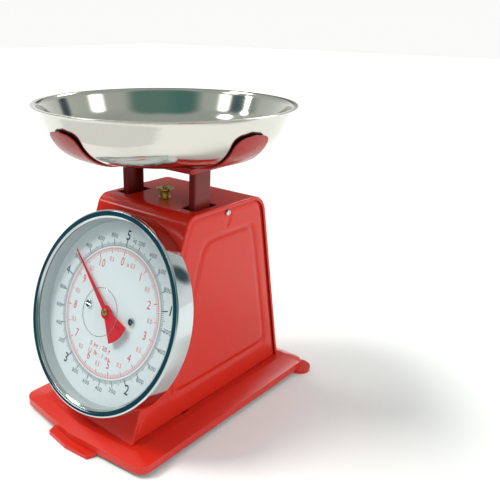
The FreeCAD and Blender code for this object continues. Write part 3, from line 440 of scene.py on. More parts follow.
def softened(node: str, name: str, width: float, broad: float = 0.0,
             chosen: Optional[Callable[[bmesh.types.BMEdge], bool]] = None) -> bpy.types.Object:
    """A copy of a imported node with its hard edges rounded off.

    Flat neighbours are merged to whole faces first.  Chosen bends then get a bevel of their own,
    and every other edge sharper than CORNER_ANGLE gets a fine one.

    Args:
        node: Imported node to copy.
        name: Name of the new piece.
        width: Width of the fine bevel in millimetres.
        broad: Width of the chosen bends' bevel in millimetres.
        chosen: Says which edges are such bends.

    Returns:
        The new object.
    """
    mesh = frame["nodes"][node].data.copy()
    mesh.name = name
    tidy = bmesh.new()
    tidy.from_mesh(mesh)
    bmesh.ops.remove_doubles(tidy, verts=tidy.verts, dist=1e-6)
    bmesh.ops.dissolve_limit(tidy, angle_limit=math.radians(FLAT_ANGLE), verts=tidy.verts,
                             edges=tidy.edges)
    weight = tidy.edges.layers.float.new("bevel_weight_edge")
    tidy.normal_update()
    for edge in tidy.edges:
        if chosen and len(edge.link_faces) == 2:
            bent = edge.calc_face_angle(0.0) > math.radians(BEND_ANGLE)
            edge[weight] = float(bent and chosen(edge))
    tidy.to_mesh(mesh)
    tidy.free()
    piece = show(name, mesh)
    smooth(piece, 32.0)
    if chosen:
        bevel(piece, "broad_bends", broad, 6, "WEIGHT")
    bevel(piece, "rounded_edges", width, 3, "ANGLE")
    return piece


def bevel(piece: bpy.types.Object, name: str, width: float, segments: int,
          limit: str) -> None:
    """Adds one bevel modifier, limited by edge weight or by angle."""
    modifier = piece.modifiers.new(name, "BEVEL")
    modifier.width = width * MM
    modifier.segments = segments
    modifier.limit_method = limit
    modifier.angle_limit = math.radians(CORNER_ANGLE)
    modifier.use_clamp_overlap = limit == "ANGLE"
    modifier.harden_normals = True


# ---- dial frame ------------------------------------------
@dataclass(frozen=True)
class DialFrame:
    """Place of the leaning dial: v runs up its face and w out of it."""

    lean: float = 21.0
    origin: tuple[float, float, float] = (0.0, -67.8558, 105.7)

    def place(self, points: np.ndarray) -> np.ndarray:
        """Moves (x, v, w) points into the scale's frame.

        The face leans back by lean degrees, so v adds (0, sin, cos) and w adds (0, -cos, sin).

        Args:
            points: Array whose last axis is x, v, w.

        Returns:
            The same points as x, y, z.
        """
        sine, cosine = math.sin(math.radians(self.lean)), math.cos(math.radians(self.lean))
        x, v, w = points[..., 0], points[..., 1], points[..., 2]
        y = self.origin[1] + v * sine - w * cosine
        z = self.origin[2] + v * cosine + w * sine
        return np.stack([x + self.origin[0], y, z], axis=-1)

    def matrix(self) -> Matrix:
        """The same move as a matrix in metres."""
        shift = Matrix.Translation(Vector(self.origin) * MM)
        return shift @ Matrix.Rotation(math.radians(90.0 - self.lean), 4, "X")


DIAL = DialFrame()


def dial_lathe(name: str, profile: np.ndarray, segments: int = 256) -> bpy.types.Object:
    """A body turned about the dial's own axis, from a closed (radius, w) loop."""
    points = DIAL.place(turned(profile, segments))
    return as_object(name, points, grid_faces(len(profile), segments, True, True))


# ---- bowl and its cross ----------------------------------
@dataclass
class Bowl:
    """Spun stainless bowl with a rolled-out lip."""

    centre_y: float = -5.5
    rim_z: float = 277.7
    rim_radius: float = 110.0
    neck_radius: float = 105.2
    neck_drop: float = 2.0
    wall_drop: float = 17.0
    wall_angle: float = 20.5
    corner_radius: float = 37.0
    depth: float = 44.0
    flat_radius: float = 32.0
    floor_angle: float = 86.0
    sheet: float = 0.8

    def skin(self, offset: float, steps: int = 26) -> np.ndarray:
        """Side view of the bowl's outer face moved outwards by offset, from neck to axis.

        A straight wall leans in by wall_angle, an arc of corner_radius turns it towards the
        floor, and a nearly flat cone ends at the flat middle.

        Args:
            offset: Distance outside the bowl; negative is inside.
            steps: Spans in the arc.

        Returns:
            An array of (radius, height) points.
        """
        lean = math.radians(self.wall_angle)
        end = self.neck_radius - (self.wall_drop - self.neck_drop) * math.tan(lean)
        outward = np.array([math.cos(lean), -math.sin(lean)]) * offset
        neck = np.array([self.neck_radius, self.rim_z - self.neck_drop]) + outward
        centre = np.array([end - self.corner_radius * math.cos(lean),
                           self.rim_z - self.wall_drop + self.corner_radius * math.sin(lean)])
        angle = np.linspace(lean, math.radians(self.floor_angle), steps)
        radius = self.corner_radius + offset
        arc = centre + radius * np.stack([np.cos(angle), -np.sin(angle)], axis=-1)
        wall = neck + (arc[0] - neck) * np.linspace(0.0, 1.0, 8)[:-1, None]
        floor_z = self.rim_z - self.depth - offset
        floor = np.array([[share * self.flat_radius, floor_z] for share in (1.0, 0.5, 0.0)])
        return np.concatenate([wall, arc, floor])

    def build(self) -> None:
        """Makes the bowl as one turned skin with its lip."""
        outer = self.skin(0.0)
        inner = self.skin(-self.sheet)[::-1]
        top = self.rim_z
        lip_out = rounded_path([
            (*inner[-1], 0.0), (self.neck_radius + 0.6, top - 0.25, 1.4),
            (self.rim_radius - 0.6, top, 0.3), (self.rim_radius, top - 0.35, 0.25),
            (self.rim_radius - 0.4, top - self.sheet, 0.3),
            (self.neck_radius + 1.6, top - self.sheet - 0.2, 1.2),
            (*outer[0], 0.0)], False, 4)[1:-1]
        profile = np.concatenate([outer, inner, lip_out])
        piece = lathe("stainless_bowl", profile, (0.0, self.centre_y), 256)
        smooth(piece, 40.0)
        finish_piece(piece, POLISHED, Body.BOWL, ["bowl"])


@dataclass
class BowlCross:
    """Four-winged cross of bent strip under the bowl."""

    bowl: Bowl
    gap: float = 2.4
    sheet: float = 1.2
    half_width: float = 17.5
    hub_radius: float = 34.0
    tip_z: float = 264.0
    turn: float = -6.0
    top_z: float = 233.4
    tip_round: float = 10.0
    tip_power: float = 2.6
    flare: float = 0.28
    flare_start: float = 42.0
    flare_length: float = 30.0
    rows: int = 60
    columns: int = 15

    def build(self) -> None:
        """Repeats a bent strip four times round the hub and paints the faces towards the bowl
        nearly black: painted shade of the gap and painted dark reflection.

        Along the wing the point follows the bowl's skin, and across it the width narrows to a
        rounded tip: half width times the root of 1 - k to the tip_power over the last stretch.
        """
        outside = self.bowl.skin(self.gap + self.sheet, 40)[::-1]
        inside = self.bowl.skin(self.gap, 40)[::-1]
        shift = self.top_z - (self.bowl.rim_z - self.bowl.depth - self.gap)
        outside, inside = outside + [0.0, shift], inside + [0.0, shift]
        wings, faces, count = [], [], 0
        for quarter in range(4):
            points, quads = self.wing(outside, inside, math.radians(self.turn + 90.0 * quarter))
            wings.append(points)
            faces.append(quads + count)
            count += len(points)
        piece = as_object("bowl_cross", np.concatenate(wings), np.concatenate(faces))
        smooth(piece, 40.0)
        # The cross takes the red enamel darkened as painted shade.
        finish_piece(piece, RED_ENAMEL_HALF_SHADE, Body.LOAD_FRAME, ["bowl_carrier"])
        # Faces that look towards the bowl get the nearly black paint: painted shade and painted
        # dark reflection.
        piece.data.materials.append(GAP_SHADE.build())
        faces = piece.data.polygons
        middle, normal = np.empty(len(faces) * 3), np.empty(len(faces) * 3)
        faces.foreach_get("center", middle)
        faces.foreach_get("normal", normal)
        inward = np.array([0.0, self.bowl.centre_y, self.bowl.rim_z]) * MM - middle.reshape(-1, 3)
        facing = (inward * normal.reshape(-1, 3)).sum(axis=1) / np.linalg.norm(inward, axis=1)
        faces.foreach_set("material_index", (facing > 0.3).astype(np.int32))

    def wing(self, outside: np.ndarray, inside: np.ndarray,
             turn: float) -> tuple[np.ndarray, np.ndarray]:
        """Points and quads of one wing, turned about the bowl's axis."""
        outer, inner = self.resample(outside, self.rows), self.resample(inside, self.rows)
        step = np.linalg.norm(np.diff(outer, axis=0), axis=1)
        left = np.concatenate([np.cumsum(step[::-1])[::-1], [0.0]])
        reach = np.clip(1.0 - left / self.tip_round, 0.0, 1.0)
        flare = 1.0 + self.flare * np.clip((left - self.flare_start) / self.flare_length, 0.0, 1.0)
        narrow = np.sqrt(np.clip(1.0 - reach ** self.tip_power, 0.0, 1.0))
        half = self.half_width * narrow * flare + 0.02
        side = half[:, None] * np.linspace(-1.0, 1.0, self.columns)
        sheets = []
        for profile in (outer, inner):
            along = np.sqrt(np.maximum(profile[:, :1] ** 2 - side ** 2, 0.0))
            height = np.broadcast_to(profile[:, 1:], side.shape)
            sheets.append(np.stack([side, -along, height], axis=-1))
        sheets[1] = sheets[1][:, ::-1]
        tube = np.concatenate(sheets, axis=1)
        cosine, sine = math.cos(turn), math.sin(turn)
        x, y = tube[..., 0], tube[..., 1]
        points = np.stack([x * cosine - y * sine, x * sine + y * cosine + self.bowl.centre_y,
                           tube[..., 2]], axis=-1)
        columns = tube.shape[1]
        quads = grid_faces(self.rows, columns, False, True)
        ring = columns // 2
        cap = np.array([[i, i + 1, columns - 2 - i, columns - 1 - i] for i in range(ring - 1)])
        caps = [cap, cap + (self.rows - 1) * columns]
        return points.reshape(-1, 3), np.concatenate([quads, *caps])

    def resample(self, profile: np.ndarray, rows: int) -> np.ndarray:
        """Even points along the skin from near the hub's middle up to the tip height."""
        keep = profile[(profile[:, 0] > 1.0) & (profile[:, 1] <= self.tip_z)]
        over = profile[profile[:, 1] > self.tip_z][:1]
        share = (self.tip_z - keep[-1, 1]) / (over[0, 1] - keep[-1, 1])
        keep = np.concatenate([keep, keep[-1:] + (over - keep[-1:]) * share])
        length = np.concatenate([[0.0], np.cumsum(np.linalg.norm(np.diff(keep, axis=0), axis=1))])
        even = np.linspace(0.0, length[-1], rows)
        return np.stack([np.interp(even, length, keep[:, axis]) for axis in (0, 1)], axis=-1)


# ---- dial ------------------------------------------------
@dataclass
class Bezel:
    """Deep chromed ring round the dial."""

    radius: float = 86.5
    back: float = 1.8
    front: float = 20.6
    opening: float = 79.4
    sheet: float = 0.9

    def build(self) -> None:
        """Turns the ring: a straight band, a small shoulder, a shallow valley and an inner lip."""
        edge, top, wall = self.radius, self.front, self.radius - self.sheet
        outer = [(edge, self.back, 0.2), (edge, top - 0.7, 1.1), (edge - 1.4, top, 0.9),
                 (edge - 3.2, top - 0.30, 1.0), (edge - 5.2, top - 0.12, 0.9),
                 (self.opening, top - 1.7, 0.4)]
        inner = [(self.opening + 0.7, top - 2.6, 0.2), (edge - 5.0, top - 1.3, 0.8),
                 (edge - 3.3, top - 1.6, 0.6), (edge - 1.6, top - 1.1, 0.5),
                 (wall, top - 1.5, 0.4), (wall, self.back, 0.2)]
        piece = dial_lathe("dial_bezel", rounded_path(outer + inner, True, 8), 320)
        smooth(piece, 50.0)
        finish_piece(piece, CHROME, Body.HOUSING, ["bezel"])


@dataclass(frozen=True)
class StrokeCircle:
    """Radial strokes on a circle, in four ranks from a whole unit down to the finest step.

    every says how many steps apart the first three ranks stand.  gap is the space between circle
    and strokes, positive where the strokes stand outside the circle.
    """

    steps: int
    every: tuple[int, int, int]
    lengths: tuple[float, float, float, float]
    widths: tuple[float, float, float, float]
    circle: float
    line: float
    gap: float

    def rows(self) -> np.ndarray:
        """Rows of (turn, inner radius, outer radius, width), one for each stroke."""
        index = np.arange(self.steps)
        ranks = [index % spacing == 0 for spacing in self.every]
        length = np.select(ranks, self.lengths[:3], self.lengths[3])
        width = np.select(ranks, self.widths[:3], self.widths[3])
        near = np.full(index.shape, self.circle + self.gap)
        far = near + math.copysign(1.0, self.gap) * length
        return np.stack([index / self.steps, np.minimum(near, far), np.maximum(near, far), width],
                        axis=-1)


@dataclass(frozen=True)
class Words:
    """A number or unit printed upright on the dial plate.

    bold is how far its strokes are fattened, and spread the share of its natural width it takes.
    """

    text: str
    centre: Point2
    height: float
    bold: float = 0.0
    spread: float = 1.0


@dataclass
class DialPrint:
    """Printed scales: kilograms outside the circles and pounds inside them."""

    level: float = 6.3
    ink: float = 0.05
    root: float = 0.1
    letter_gap: float = 1.12
    kilograms: int = 5
    pounds: int = 11
    kilogram_scale: StrokeCircle = StrokeCircle(250, (50, 10, 5), (6.6, 5.4, 4.0, 2.5),
                                                (0.9, 0.7, 0.45, 0.45), 57.5, 0.35, 0.3)
    pound_scale: StrokeCircle = StrokeCircle(176, (16, 8, 4), (5.0, 4.2, 3.2, 2.6),
                                             (0.8, 0.65, 0.55, 0.55), 55.2, 0.4, -0.2)

    def build(self) -> None:
        """Prints both scales and their numerals: a stroke for every 20 g and every ounce."""
        black, red = (BLACK_INK, Slot.BLACK_INK), (RED_INK, Slot.RED_INK)
        self.strokes("kilogram_scale", self.kilogram_scale, *black)
        self.strokes("pound_scale", self.pound_scale, *red)
        self.numerals("kilogram_numerals", self.kilogram_words(), *black)
        self.numerals("pound_numerals", self.pound_words(), *red)

    def strokes(self, name: str, scale: StrokeCircle, finish: Finish, slot: Slot) -> None:
        """Prints radial strokes and the circle they stand on.

        A stroke is a thin block: its eight corners are the sums of the radial direction times
        either radius, the cross direction times half the width, and the two ink levels.
        """
        turn, low, high, width = scale.rows().T
        angle = 2.0 * np.pi * turn
        radial = np.stack([np.sin(angle), np.cos(angle)], axis=-1)
        cross = np.stack([np.cos(angle), -np.sin(angle)], axis=-1) * width[:, None] / 2.0
        flat = [radial * low[:, None] - cross, radial * low[:, None] + cross,
                radial * high[:, None] + cross, radial * high[:, None] - cross]
        plan = np.stack(flat + flat, axis=1)
        bottom, top = self.level - self.root, self.level + self.ink
        level = np.broadcast_to(np.repeat([bottom, top], 4)[None, :, None], (*plan.shape[:2], 1))
        blocks = np.concatenate([plan, level], axis=-1)
        sides = np.array([[0, 1, 2, 3], [4, 5, 6, 7], [0, 1, 5, 4], [1, 2, 6, 5], [2, 3, 7, 6],
                          [3, 0, 4, 7]])
        faces = (sides[None] + 8 * np.arange(len(plan))[:, None, None]).reshape(-1, 4)
        inner, outer = scale.circle - scale.line / 2, scale.circle + scale.line / 2
        hoop = turned(np.array([[inner, bottom], [outer, bottom], [outer, top], [inner, top]]), 256)
        points = np.concatenate([blocks.reshape(-1, 3), hoop.reshape(-1, 3)])
        every = np.concatenate([faces, grid_faces(*hoop.shape[:2], True, True) + 8 * len(plan)])
        finish_piece(as_object(name, DIAL.place(points), every), finish, Body.HOUSING)

    @staticmethod
    def at_turn(turn: float, radius: float) -> Point2:
        """The place at a share of a full turn, clockwise from the top of the dial."""
        angle = 2.0 * math.pi * turn
        return radius * math.sin(angle), radius * math.cos(angle)

    def kilogram_words(self) -> list[Words]:
        """The outer numerals: whole kilograms, hundreds of grams and the unit."""
        words = []
        for kilo in range(self.kilograms):
            place = self.at_turn(kilo / self.kilograms, 67.4)
            words.append(Words(str(kilo or self.kilograms), place, 12.0, 0.12, 0.86))
            for part in (200, 400, 600, 800):
                place = self.at_turn((kilo + part / 1000.0) / self.kilograms, 66.0)
                words.append(Words(str(part), place, 5.3, 0.0, 0.96))
        return words + [Words("kg", (8.4, 65.0), 5.2, 0.0, 0.8)]

    def pound_words(self) -> list[Words]:
        """The inner numerals, the unit, and the plain capacity and step of both scales."""
        words = []
        for pound in range(self.pounds):
            place = self.at_turn(pound / self.pounds, 44.6)
            words.append(Words(str(pound), place, 10.2, 0.03, 0.80))
            place = self.at_turn((pound + 0.5) / self.pounds, 45.8)
            words.append(Words("0.5", place, 5.6, 0.04, 0.70))
        return words + [Words("lb", (7.0, 43.4), 4.8, 0.03, 0.8),
                        Words("5 kg : 20 g", (-1.5, -31.5), 5.4, 0.08),
                        Words("11 lb : 1 oz", (-1.5, -38.0), 5.4, 0.08)]

    def numerals(self, name: str, words: list[Words], finish: Finish, slot: Slot) -> None:
        """Joins the printed words of one colour into a piece."""
        joined = bmesh.new()
        for part in [self.lettering(each) for each in words]:
            joined.from_mesh(part)
            bpy.data.meshes.remove(part)
        mesh = bpy.data.meshes.new(name)
        joined.to_mesh(mesh)
        joined.free()
        finish_piece(show(name, mesh), finish, Body.HOUSING)

    def lettering(self, words: Words) -> bpy.types.Mesh:
        """Words as a thin closed mesh on the dial plate.

        Args:
            words: What to print and where.

        Returns:
            A mesh in the scale's frame, in metres.
        """
        curve = bpy.data.curves.new("lettering", "FONT")
        curve.body = words.text
        curve.size = words.height
        curve.align_x, curve.align_y = "CENTER", "CENTER"
        curve.space_character = self.letter_gap
        curve.extrude = (self.ink + self.root) / 2.0
        curve.offset = 0.0 if "4" in words.text else words.bold  # a fattened 4 loses its eye
        curve.resolution_u = 4
        source = bpy.data.objects.new("lettering", curve)
        bpy.context.scene.collection.objects.link(source)
        bpy.context.view_layer.update()
        flat = source.evaluated_get(bpy.context.evaluated_depsgraph_get())
        mesh = bpy.data.meshes.new_from_object(flat)
        narrow = Matrix.Diagonal((words.spread, 1.0, 1.0, 1.0))
        shift = Matrix.Translation((*words.centre, self.level + (self.ink - self.root) / 2.0))
        mesh.transform(DIAL.matrix() @ Matrix.Scale(MM, 4) @ shift @ narrow)
        bpy.data.objects.remove(source)
        bpy.data.curves.remove(curve)
        return mesh


@dataclass
class DialFittings:
    """Turned parts in front of the dial plate: the lens and the pointer's brass cap."""

    lens_back: float = 17.0
    lens_front: float = 18.4
    lens_radius: float = 83.4
    boss: float = 20.5
    cap_base: float = 11.6
    cap_radius: float = 2.9

    def build(self) -> None:
        """Makes the lens with its raised middle and moulded ring, and the pointer cap."""
        front, boss = self.lens_front, self.boss
        lens = rounded_path([
            (0.0, self.lens_back, 0.0), (self.lens_radius, self.lens_back, 0.2),
            (self.lens_radius, front, 0.2), (boss + 0.5, front, 0.3),
            (boss - 0.3, front + 0.6, 0.3), (boss - 1.6, front + 0.6, 0.4),
            (boss - 2.6, front + 0.35, 0.6),
            (0.0, front + 0.35, 0.0)], False, 4)
        piece = dial_lathe("dial_lens", lens, 256)
        smooth(piece, 30.0)
        finish_piece(piece, CLEAR, Body.HOUSING, ["lens"])
        self.mould_edge("lens_boss_edge", boss, front + 0.1)
        base, rim = self.cap_base, self.cap_radius
        dome = rounded_path([(0.0, base, 0.0), (rim, base, 0.1), (rim, base + 1.3, 0.8),
                             (1.6, base + 2.1, 0.8), (0.9, base + 2.2, 0.2),
                             (0.7, base + 1.75, 0.1), (0.0, base + 1.75, 0.0)], False, 5)
        cap = dial_lathe("pointer_dome", dome, 64)
        smooth(cap, 40.0)
        finish_piece(cap, BRASS, Body.POINTER, ["pointer_cap"])

    @staticmethod
    def mould_edge(name: str, radius: float, level: float) -> None:
        """A fine raised line that the mould leaves on the lens."""
        foot, top = level - 0.3, level + 0.45
        line = rounded_path([(radius - 0.45, foot, 0.1), (radius + 0.45, foot, 0.1),
                             (radius + 0.35, top, 0.25), (radius - 0.35, top, 0.25)], True, 3)
        piece = dial_lathe(name, line, 192)
        smooth(piece, 60.0)
        finish_piece(piece, MOULD_EDGE, Body.HOUSING)


# ---- small turned parts ----------------------------------
@dataclass
class ZeroKnob:
    """Brass thumb nut on top of the housing."""

    centre_y: float = -5.5
    low: float = 195.5

    def build(self) -> None:
        """Turns the nut: a small foot, a straight body and a wide rounded flange."""
        bore, low = 2.05, self.low
        loop = [(bore, low, 0.1), (5.4, low, 0.2), (5.4, low + 1.0, 0.3), (4.5, low + 1.4, 0.3),
                (4.5, low + 6.4, 0.6), (7.4, low + 7.7, 0.4), (7.4, low + 8.7, 0.4),
                (6.6, low + 9.0, 0.5), (bore + 0.8, low + 9.0, 0.4), (bore, low + 8.4, 0.2)]
        piece = lathe("zero_nut", rounded_path(loop, True, 4), (0.0, self.centre_y), 96)
        smooth(piece, 35.0)
        finish_piece(piece, BRASS, Body.ZERO_KNOB, ["zero_knob"])


# ---- sheet metal -----------------------------------------
def is_base_bend(edge: bmesh.types.BMEdge) -> bool:
    """Whether an edge of the base is one of the pressed bends round its rim and deck."""
    heights = [corner.co.z / MM for corner in edge.verts]
    level = max(heights) - min(heights) < 0.2
    return level and min(heights) > 10.8 and min(face.normal.z for face in edge.link_faces) > -0.01


def is_housing_fold(edge: bmesh.types.BMEdge) -> bool:
    """Whether an edge of the housing is the outer fold towards a side panel."""
    middle = (edge.verts[0].co + edge.verts[1].co) / (2.0 * MM)
    outward = middle - Vector((middle.x, 20.0, 90.0))
    beside = [abs(face.normal.x) > 0.9 for face in edge.link_faces]
    proud = any(abs(face.normal.x) < 0.1 and face.normal.dot(outward) > 0.0
                for face in edge.link_faces)
    return abs(middle.x) > 54.3 and any(beside) and proud and middle.z > 16.0


@dataclass
class SidePanel:
    """Side sheet, dished along its edge, with a soft pressed line and a dimple for its screw."""

    side: float
    face: float = 53.5
    foot: float = 14.9
    top: float = 193.9
    lean: float = 21.0
    front_top: float = -32.7
    rear_top: float = 65.9
    rear_slope: float = 39.6 / 180.4
    line_depth: float = 1.35
    line_width: float = 2.2
    dish_depth: float = 1.7
    dish_width: float = 4.6
    line_walls: tuple[float, float, float, float] = (-12.8, 53.2, 169.2, 38.8)
    line_lean_share: float = 0.8
    dimple_centre: Point2 = (16.5, 183.8)
    dimple_half_size: Point2 = (4.6, 7.6)
    dimple_depth: float = 0.9
    dimple_steepness: float = 9.0
    sheet: float = 0.9
    rows: int = 170
    columns: int = 150

    def walls(self, places: tuple[float, float, float, float], front_lean: float,
              y: np.ndarray, z: np.ndarray) -> list[np.ndarray]:
        """Distances of points inside four straight walls: front, rear, top and bottom.

        The front wall runs through (front, top) and leans back by the tangent front_lean, and the
        rear wall runs through (rear, top) at the housing's rear slope.
        """
        front, rear, top, bottom = places
        ahead = (y - front + (top - z) * front_lean) / math.hypot(1.0, front_lean)
        behind = (rear + (top - z) * self.rear_slope - y) / math.hypot(1.0, self.rear_slope)
        return [ahead, behind, top - z, z - bottom]

    @staticmethod
    def soft_least(distances: Sequence[np.ndarray], blend: float) -> np.ndarray:
        """Least of several distances with its corners rounded: -k log(sum exp(-d / k))."""
        return -blend * np.log(sum(np.exp(-np.clip(d, -60.0, 200.0) / blend) for d in distances))

    def build(self) -> None:
        """Sweeps rows of points from foot to top between the front and the rear edge.

        Each point stands at the face, less a soft dish along the edge and a pressed line that
        follows a smaller outline, both Gaussians of distance, and less an oval dimple, a logistic
        step of it.
        """
        lean = math.tan(math.radians(self.lean))
        outline = rounded_path([
            (self.front_top - (self.top - self.foot) * lean, self.foot, 0.0),
            (self.front_top, self.top, 10.8), (self.rear_top, self.top, 18.8),
            (self.rear_top + (self.top - self.foot) * self.rear_slope, self.foot, 0.0)], False, 16)
        peak = len(outline) // 2
        front, rear = outline[:peak], outline[peak:][::-1]
        rise = np.sin(np.linspace(0.0, np.pi / 2.0, self.rows))
        z = (self.foot + (self.top - self.foot) * rise)[:, None]
        low = np.interp(z, front[:, 1], front[:, 0])
        high = np.interp(z, rear[:, 1], rear[:, 0])
        y = low + (high - low) * np.linspace(0.0, 1.0, self.columns)[None, :]
        z = np.broadcast_to(z, y.shape)
        rim = (self.front_top, self.rear_top, self.top, -50.0)  # the foot has no dish
        edge = self.soft_least(self.walls(rim, lean, y, z), 3.0)
        line = self.soft_least(self.walls(self.line_walls, lean * self.line_lean_share, y, z), 4.0)
        dish = self.dish_depth * np.exp(-(np.maximum(edge, 0.0) / self.dish_width) ** 2)
        press = self.line_depth * np.exp(-(line / self.line_width) ** 2)
        across = (y - self.dimple_centre[0]) / self.dimple_half_size[0]
        along = (z - self.dimple_centre[1]) / self.dimple_half_size[1]
        outside = across ** 2 + along ** 2 - 1.0
        dimple = self.dimple_depth / (1.0 + np.exp(self.dimple_steepness * outside))
        x = self.side * (self.face - dish - press - dimple)
        points = np.stack([x, y, z], axis=-1)
        name = f"enamelled_panel_{'right' if self.side > 0 else 'left'}"
        piece = as_object(name, points, grid_faces(*y.shape, False, False))
        solid = piece.modifiers.new("sheet", "SOLIDIFY")
        solid.thickness, solid.offset = self.sheet * MM, -1.0
        if piece.data.polygons[len(piece.data.polygons) // 2].normal.x * self.side < 0.0:
            piece.data.flip_normals()
        smooth(piece, 50.0)
        node = name.replace("enamelled", "side")
        finish_piece(piece, SCARLET, Body.HOUSING, [node])


@dataclass
class Pressings:
    """Red enamelled sheet parts, with the rounded edges that pressing and folding give."""

    def build(self) -> None:
        """Softens each pressing's edges and enamels it."""
        base = softened("base_tray", "enamelled_base", 0.4, 0.4, is_base_bend)
        finish_piece(base, SCARLET, Body.HOUSING, ["base_tray"])
        shell = softened("housing_shell", "enamelled_housing", 0.3, 1.3, is_housing_fold)
        finish_piece(shell, SCARLET, Body.HOUSING, ["housing_shell"])
        # The crossbar takes the red enamel darkened as painted shade.
        bar = softened("crossbar", "enamelled_crossbar", 0.4)
        finish_piece(bar, RED_ENAMEL_HALF_SHADE, Body.LOAD_FRAME, ["crossbar"])
        for side in (-1.0, 1.0):
            SidePanel(side).build()


def dress_packed_nodes() -> None:
    """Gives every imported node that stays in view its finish."""
    by_slot = {"red_paint": SCARLET, "dark_red_paint": RED_ENAMEL_DEEP_SHADE, "red_pointer": POINTER_RED,
               "steel": ZINC, "spring_wire": SPRING_STEEL, "stainless": POLISHED, "chrome": CHROME,
               "brass": BRASS, "white_print": DIAL_WHITE, "white_plastic": SHADED_RING_WHITE,
               "clear": CLEAR}
    for part in frame["record"]["subparts"]:
        node = frame["nodes"][part["node"]]
        material = by_slot[part["material_slot"]].build()
        if not node.material_slots:
            node.data.materials.append(material)
        for slot in node.material_slots:
            slot.material = material
        LOG.info("%s: %s", part["node"], material.name)


# ---- studio ----------------------------------------------
@dataclass(frozen=True)
class Card:
    """A round patch of the surroundings, full within the inner angle and gone past the outer."""

    towards: tuple[float, float, float]
    inner: float
    outer: float
    colour: Colour


@dataclass(frozen=True)
class Lamp:
    """A far, wide light: where it stands, how many degrees wide it looks, and how strong it is."""

    name: str
    place: Corner
    width: float
    strength: float
    colour: Colour


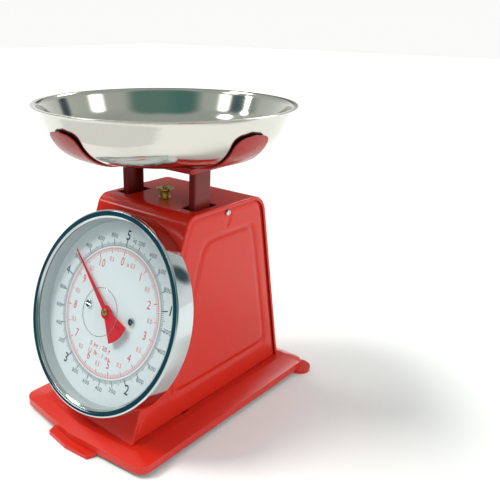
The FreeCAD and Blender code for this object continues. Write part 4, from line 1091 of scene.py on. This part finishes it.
@dataclass
class Studio:
    """Pale floor, soft lights and the camera."""

    cards: tuple[Card, ...] = (
        Card((-0.61, -0.79, 0.03), 20.0, 36.0, (0.014, 0.075, 0.105)),
        Card((0.40, -0.70, 0.59), 12.0, 27.0, (0.09, 0.21, 0.19)),
        Card((0.70, -0.41, 0.59), 12.0, 27.0, (0.13, 0.24, 0.21)),
        Card((0.28, 0.93, 0.25), 3.0, 9.0, (0.06, 0.09, 0.10)),
        Card((-0.36, -0.80, 0.47), 3.0, 8.0, (2.4, 2.4, 2.3)),
        Card((0.76, 0.47, 0.44), 4.0, 10.0, (2.4, 2.4, 2.3)),
        Card((-0.46, -0.55, 0.70), 3.0, 8.0, (6.0, 6.1, 6.1)),
        Card((-0.60, -0.15, 0.78), 4.0, 9.0, (14.0, 13.8, 13.2)),
        Card((-0.72, -0.54, 0.44), 1.5, 4.5, (12.0, 12.0, 11.6)),
        Card((-0.05, 0.76, 0.64), 4.0, 9.0, (12.0, 12.0, 12.0)),
        Card((-0.58, 0.76, 0.30), 6.0, 15.0, (0.12, 0.10, 0.10)),
    )
    sky_stops: tuple[tuple[float, Colour], ...] = (
        (0.0, (0.96, 0.96, 0.95)), (0.08, (0.94, 0.95, 0.94)), (0.22, (0.66, 0.70, 0.68)),
        (0.36, (0.54, 0.57, 0.53)), (0.75, (0.42, 0.46, 0.43)), (1.0, (0.42, 0.46, 0.43)),
    )
    lamps: tuple[Lamp, ...] = (
        Lamp("key_light", (-0.40, -0.41, 0.82), 20.0, 2.0, (1.0, 0.985, 0.96)),
        Lamp("fill_light", (0.86, -0.22, 0.46), 50.0, 1.2, (0.97, 0.99, 1.0)),
    )
    floor_reach: float = 6000.0
    floor_front: float = -262.0
    camera_place: Corner = (371.774, -392.138, 344.007)
    azimuth: float = -48.063
    elevation: float = 20.871
    roll: float = 0.496
    lens: float = 45.44
    shift: Point2 = (0.1293, 0.0143)

    def build(self) -> None:
        """Sets up the whole studio."""
        self.floor()
        self.sky()
        for lamp in self.lamps:
            self.hang_lamp(lamp)
        self.camera()

    def floor(self) -> None:
        """A wide pale table."""
        far, front = self.floor_reach, self.floor_front
        points = np.array([(-far, front, -0.02), (far, front, -0.02), (far, far, -0.02),
                           (-far, far, -0.02)])
        plane = as_object("pale_floor", points, [[0, 1, 2, 3]])
        pale = Finish("pale_table", (0.86, 0.86, 0.86), (0.84, 0.84, 0.85), roughness=0.7,
                      drift_scale=2.0, grain_scale=300.0, grain=0.02, ior=1.2)
        plane.data.materials.append(pale.build())

    def sky(self) -> None:
        """Surroundings, pale at the horizon and dusky overhead, with dark and bright cards."""
        world = bpy.data.worlds.new("studio_sky")
        bpy.context.scene.world = world
        world.use_nodes = True
        tree = world.node_tree
        direction = tree.nodes.new("ShaderNodeTexCoord").outputs["Generated"]
        split = add_node(tree, "ShaderNodeSeparateXYZ", {"Vector": direction})
        ramp = add_node(tree, "ShaderNodeValToRGB", {"Fac": split.outputs["Z"]})
        ends = ramp.color_ramp.elements
        for end, (position, colour) in zip(ends, (self.sky_stops[0], self.sky_stops[-1])):
            end.position, end.color = position, (*colour, 1.0)
        for position, colour in self.sky_stops[1:-1]:
            ends.new(position).color = (*colour, 1.0)
        colour = ramp.outputs["Color"]
        for card in self.cards:
            colour = self.hang(tree, direction, colour, card)
        tree.links.new(colour, tree.nodes["Background"].inputs["Color"])

    @staticmethod
    def hang(tree: bpy.types.NodeTree, direction: bpy.types.NodeSocket,
             behind: bpy.types.NodeSocket, card: Card) -> bpy.types.NodeSocket:
        """Paints one soft round card over the surroundings.

        Args:
            tree: Node tree of the world.
            direction: Socket that gives the direction looked in.
            behind: Socket of the colour so far.
            card: Card to hang.

        Returns:
            The socket of the new colour.
        """
        along = tree.nodes.new("ShaderNodeVectorMath")
        along.operation = "DOT_PRODUCT"
        along.inputs[1].default_value = Vector(card.towards).normalized()
        tree.links.new(direction, along.inputs[0])
        edge = add_node(tree, "ShaderNodeMapRange", {
            "Value": along.outputs["Value"],
            "From Min": math.cos(math.radians(card.outer)),
            "From Max": math.cos(math.radians(card.inner))}, interpolation_type="SMOOTHSTEP")
        blend = add_node(tree, "ShaderNodeMix", {
            "Factor": edge.outputs["Result"], "A": behind, "B": (*card.colour, 1.0)},
            data_type="RGBA")
        return blend.outputs["Result"]

    @staticmethod
    def hang_lamp(lamp: Lamp) -> None:
        """Hangs one lamp, which lights the whole table evenly and shows in no reflection."""
        data = bpy.data.lights.new(lamp.name, "SUN")
        data.angle, data.energy, data.color = math.radians(lamp.width), lamp.strength, lamp.colour
        light = bpy.data.objects.new(lamp.name, data)
        light.visible_glossy = False
        bpy.context.scene.collection.objects.link(light)
        light.rotation_euler = (-Vector(lamp.place)).to_track_quat("-Z", "Y").to_euler()

    def camera(self) -> None:
        """Stands the camera at its place, turned by azimuth, elevation and roll in that order."""
        data = bpy.data.cameras.new("camera")
        data.lens, data.sensor_width = self.lens, 36.0
        data.shift_x, data.shift_y = self.shift
        view = bpy.data.objects.new("camera", data)
        bpy.context.scene.collection.objects.link(view)
        turns = (("Z", 90.0 + self.azimuth), ("X", 90.0 - self.elevation), ("Z", self.roll))
        axes = [Matrix.Rotation(math.radians(angle), 4, axis) for axis, angle in turns]
        place = Matrix.Translation(Vector(self.camera_place) * MM)
        view.matrix_world = place @ axes[0] @ axes[1] @ axes[2]
        bpy.context.scene.camera = view
        bpy.context.scene.view_settings.view_transform = "Standard"


def main() -> None:
    """Builds the looks of the scale in order."""
    logging.basicConfig(level=logging.INFO, format="%(name)s: %(message)s")
    dress_packed_nodes()
    bowl = Bowl()
    assemblies = (bowl, BowlCross(bowl), Bezel(), DialPrint(), DialFittings(), ZeroKnob(),
                  Pressings(), Studio())
    for assembly in assemblies:
        assembly.build()


if __name__ == "__main__":
    main()
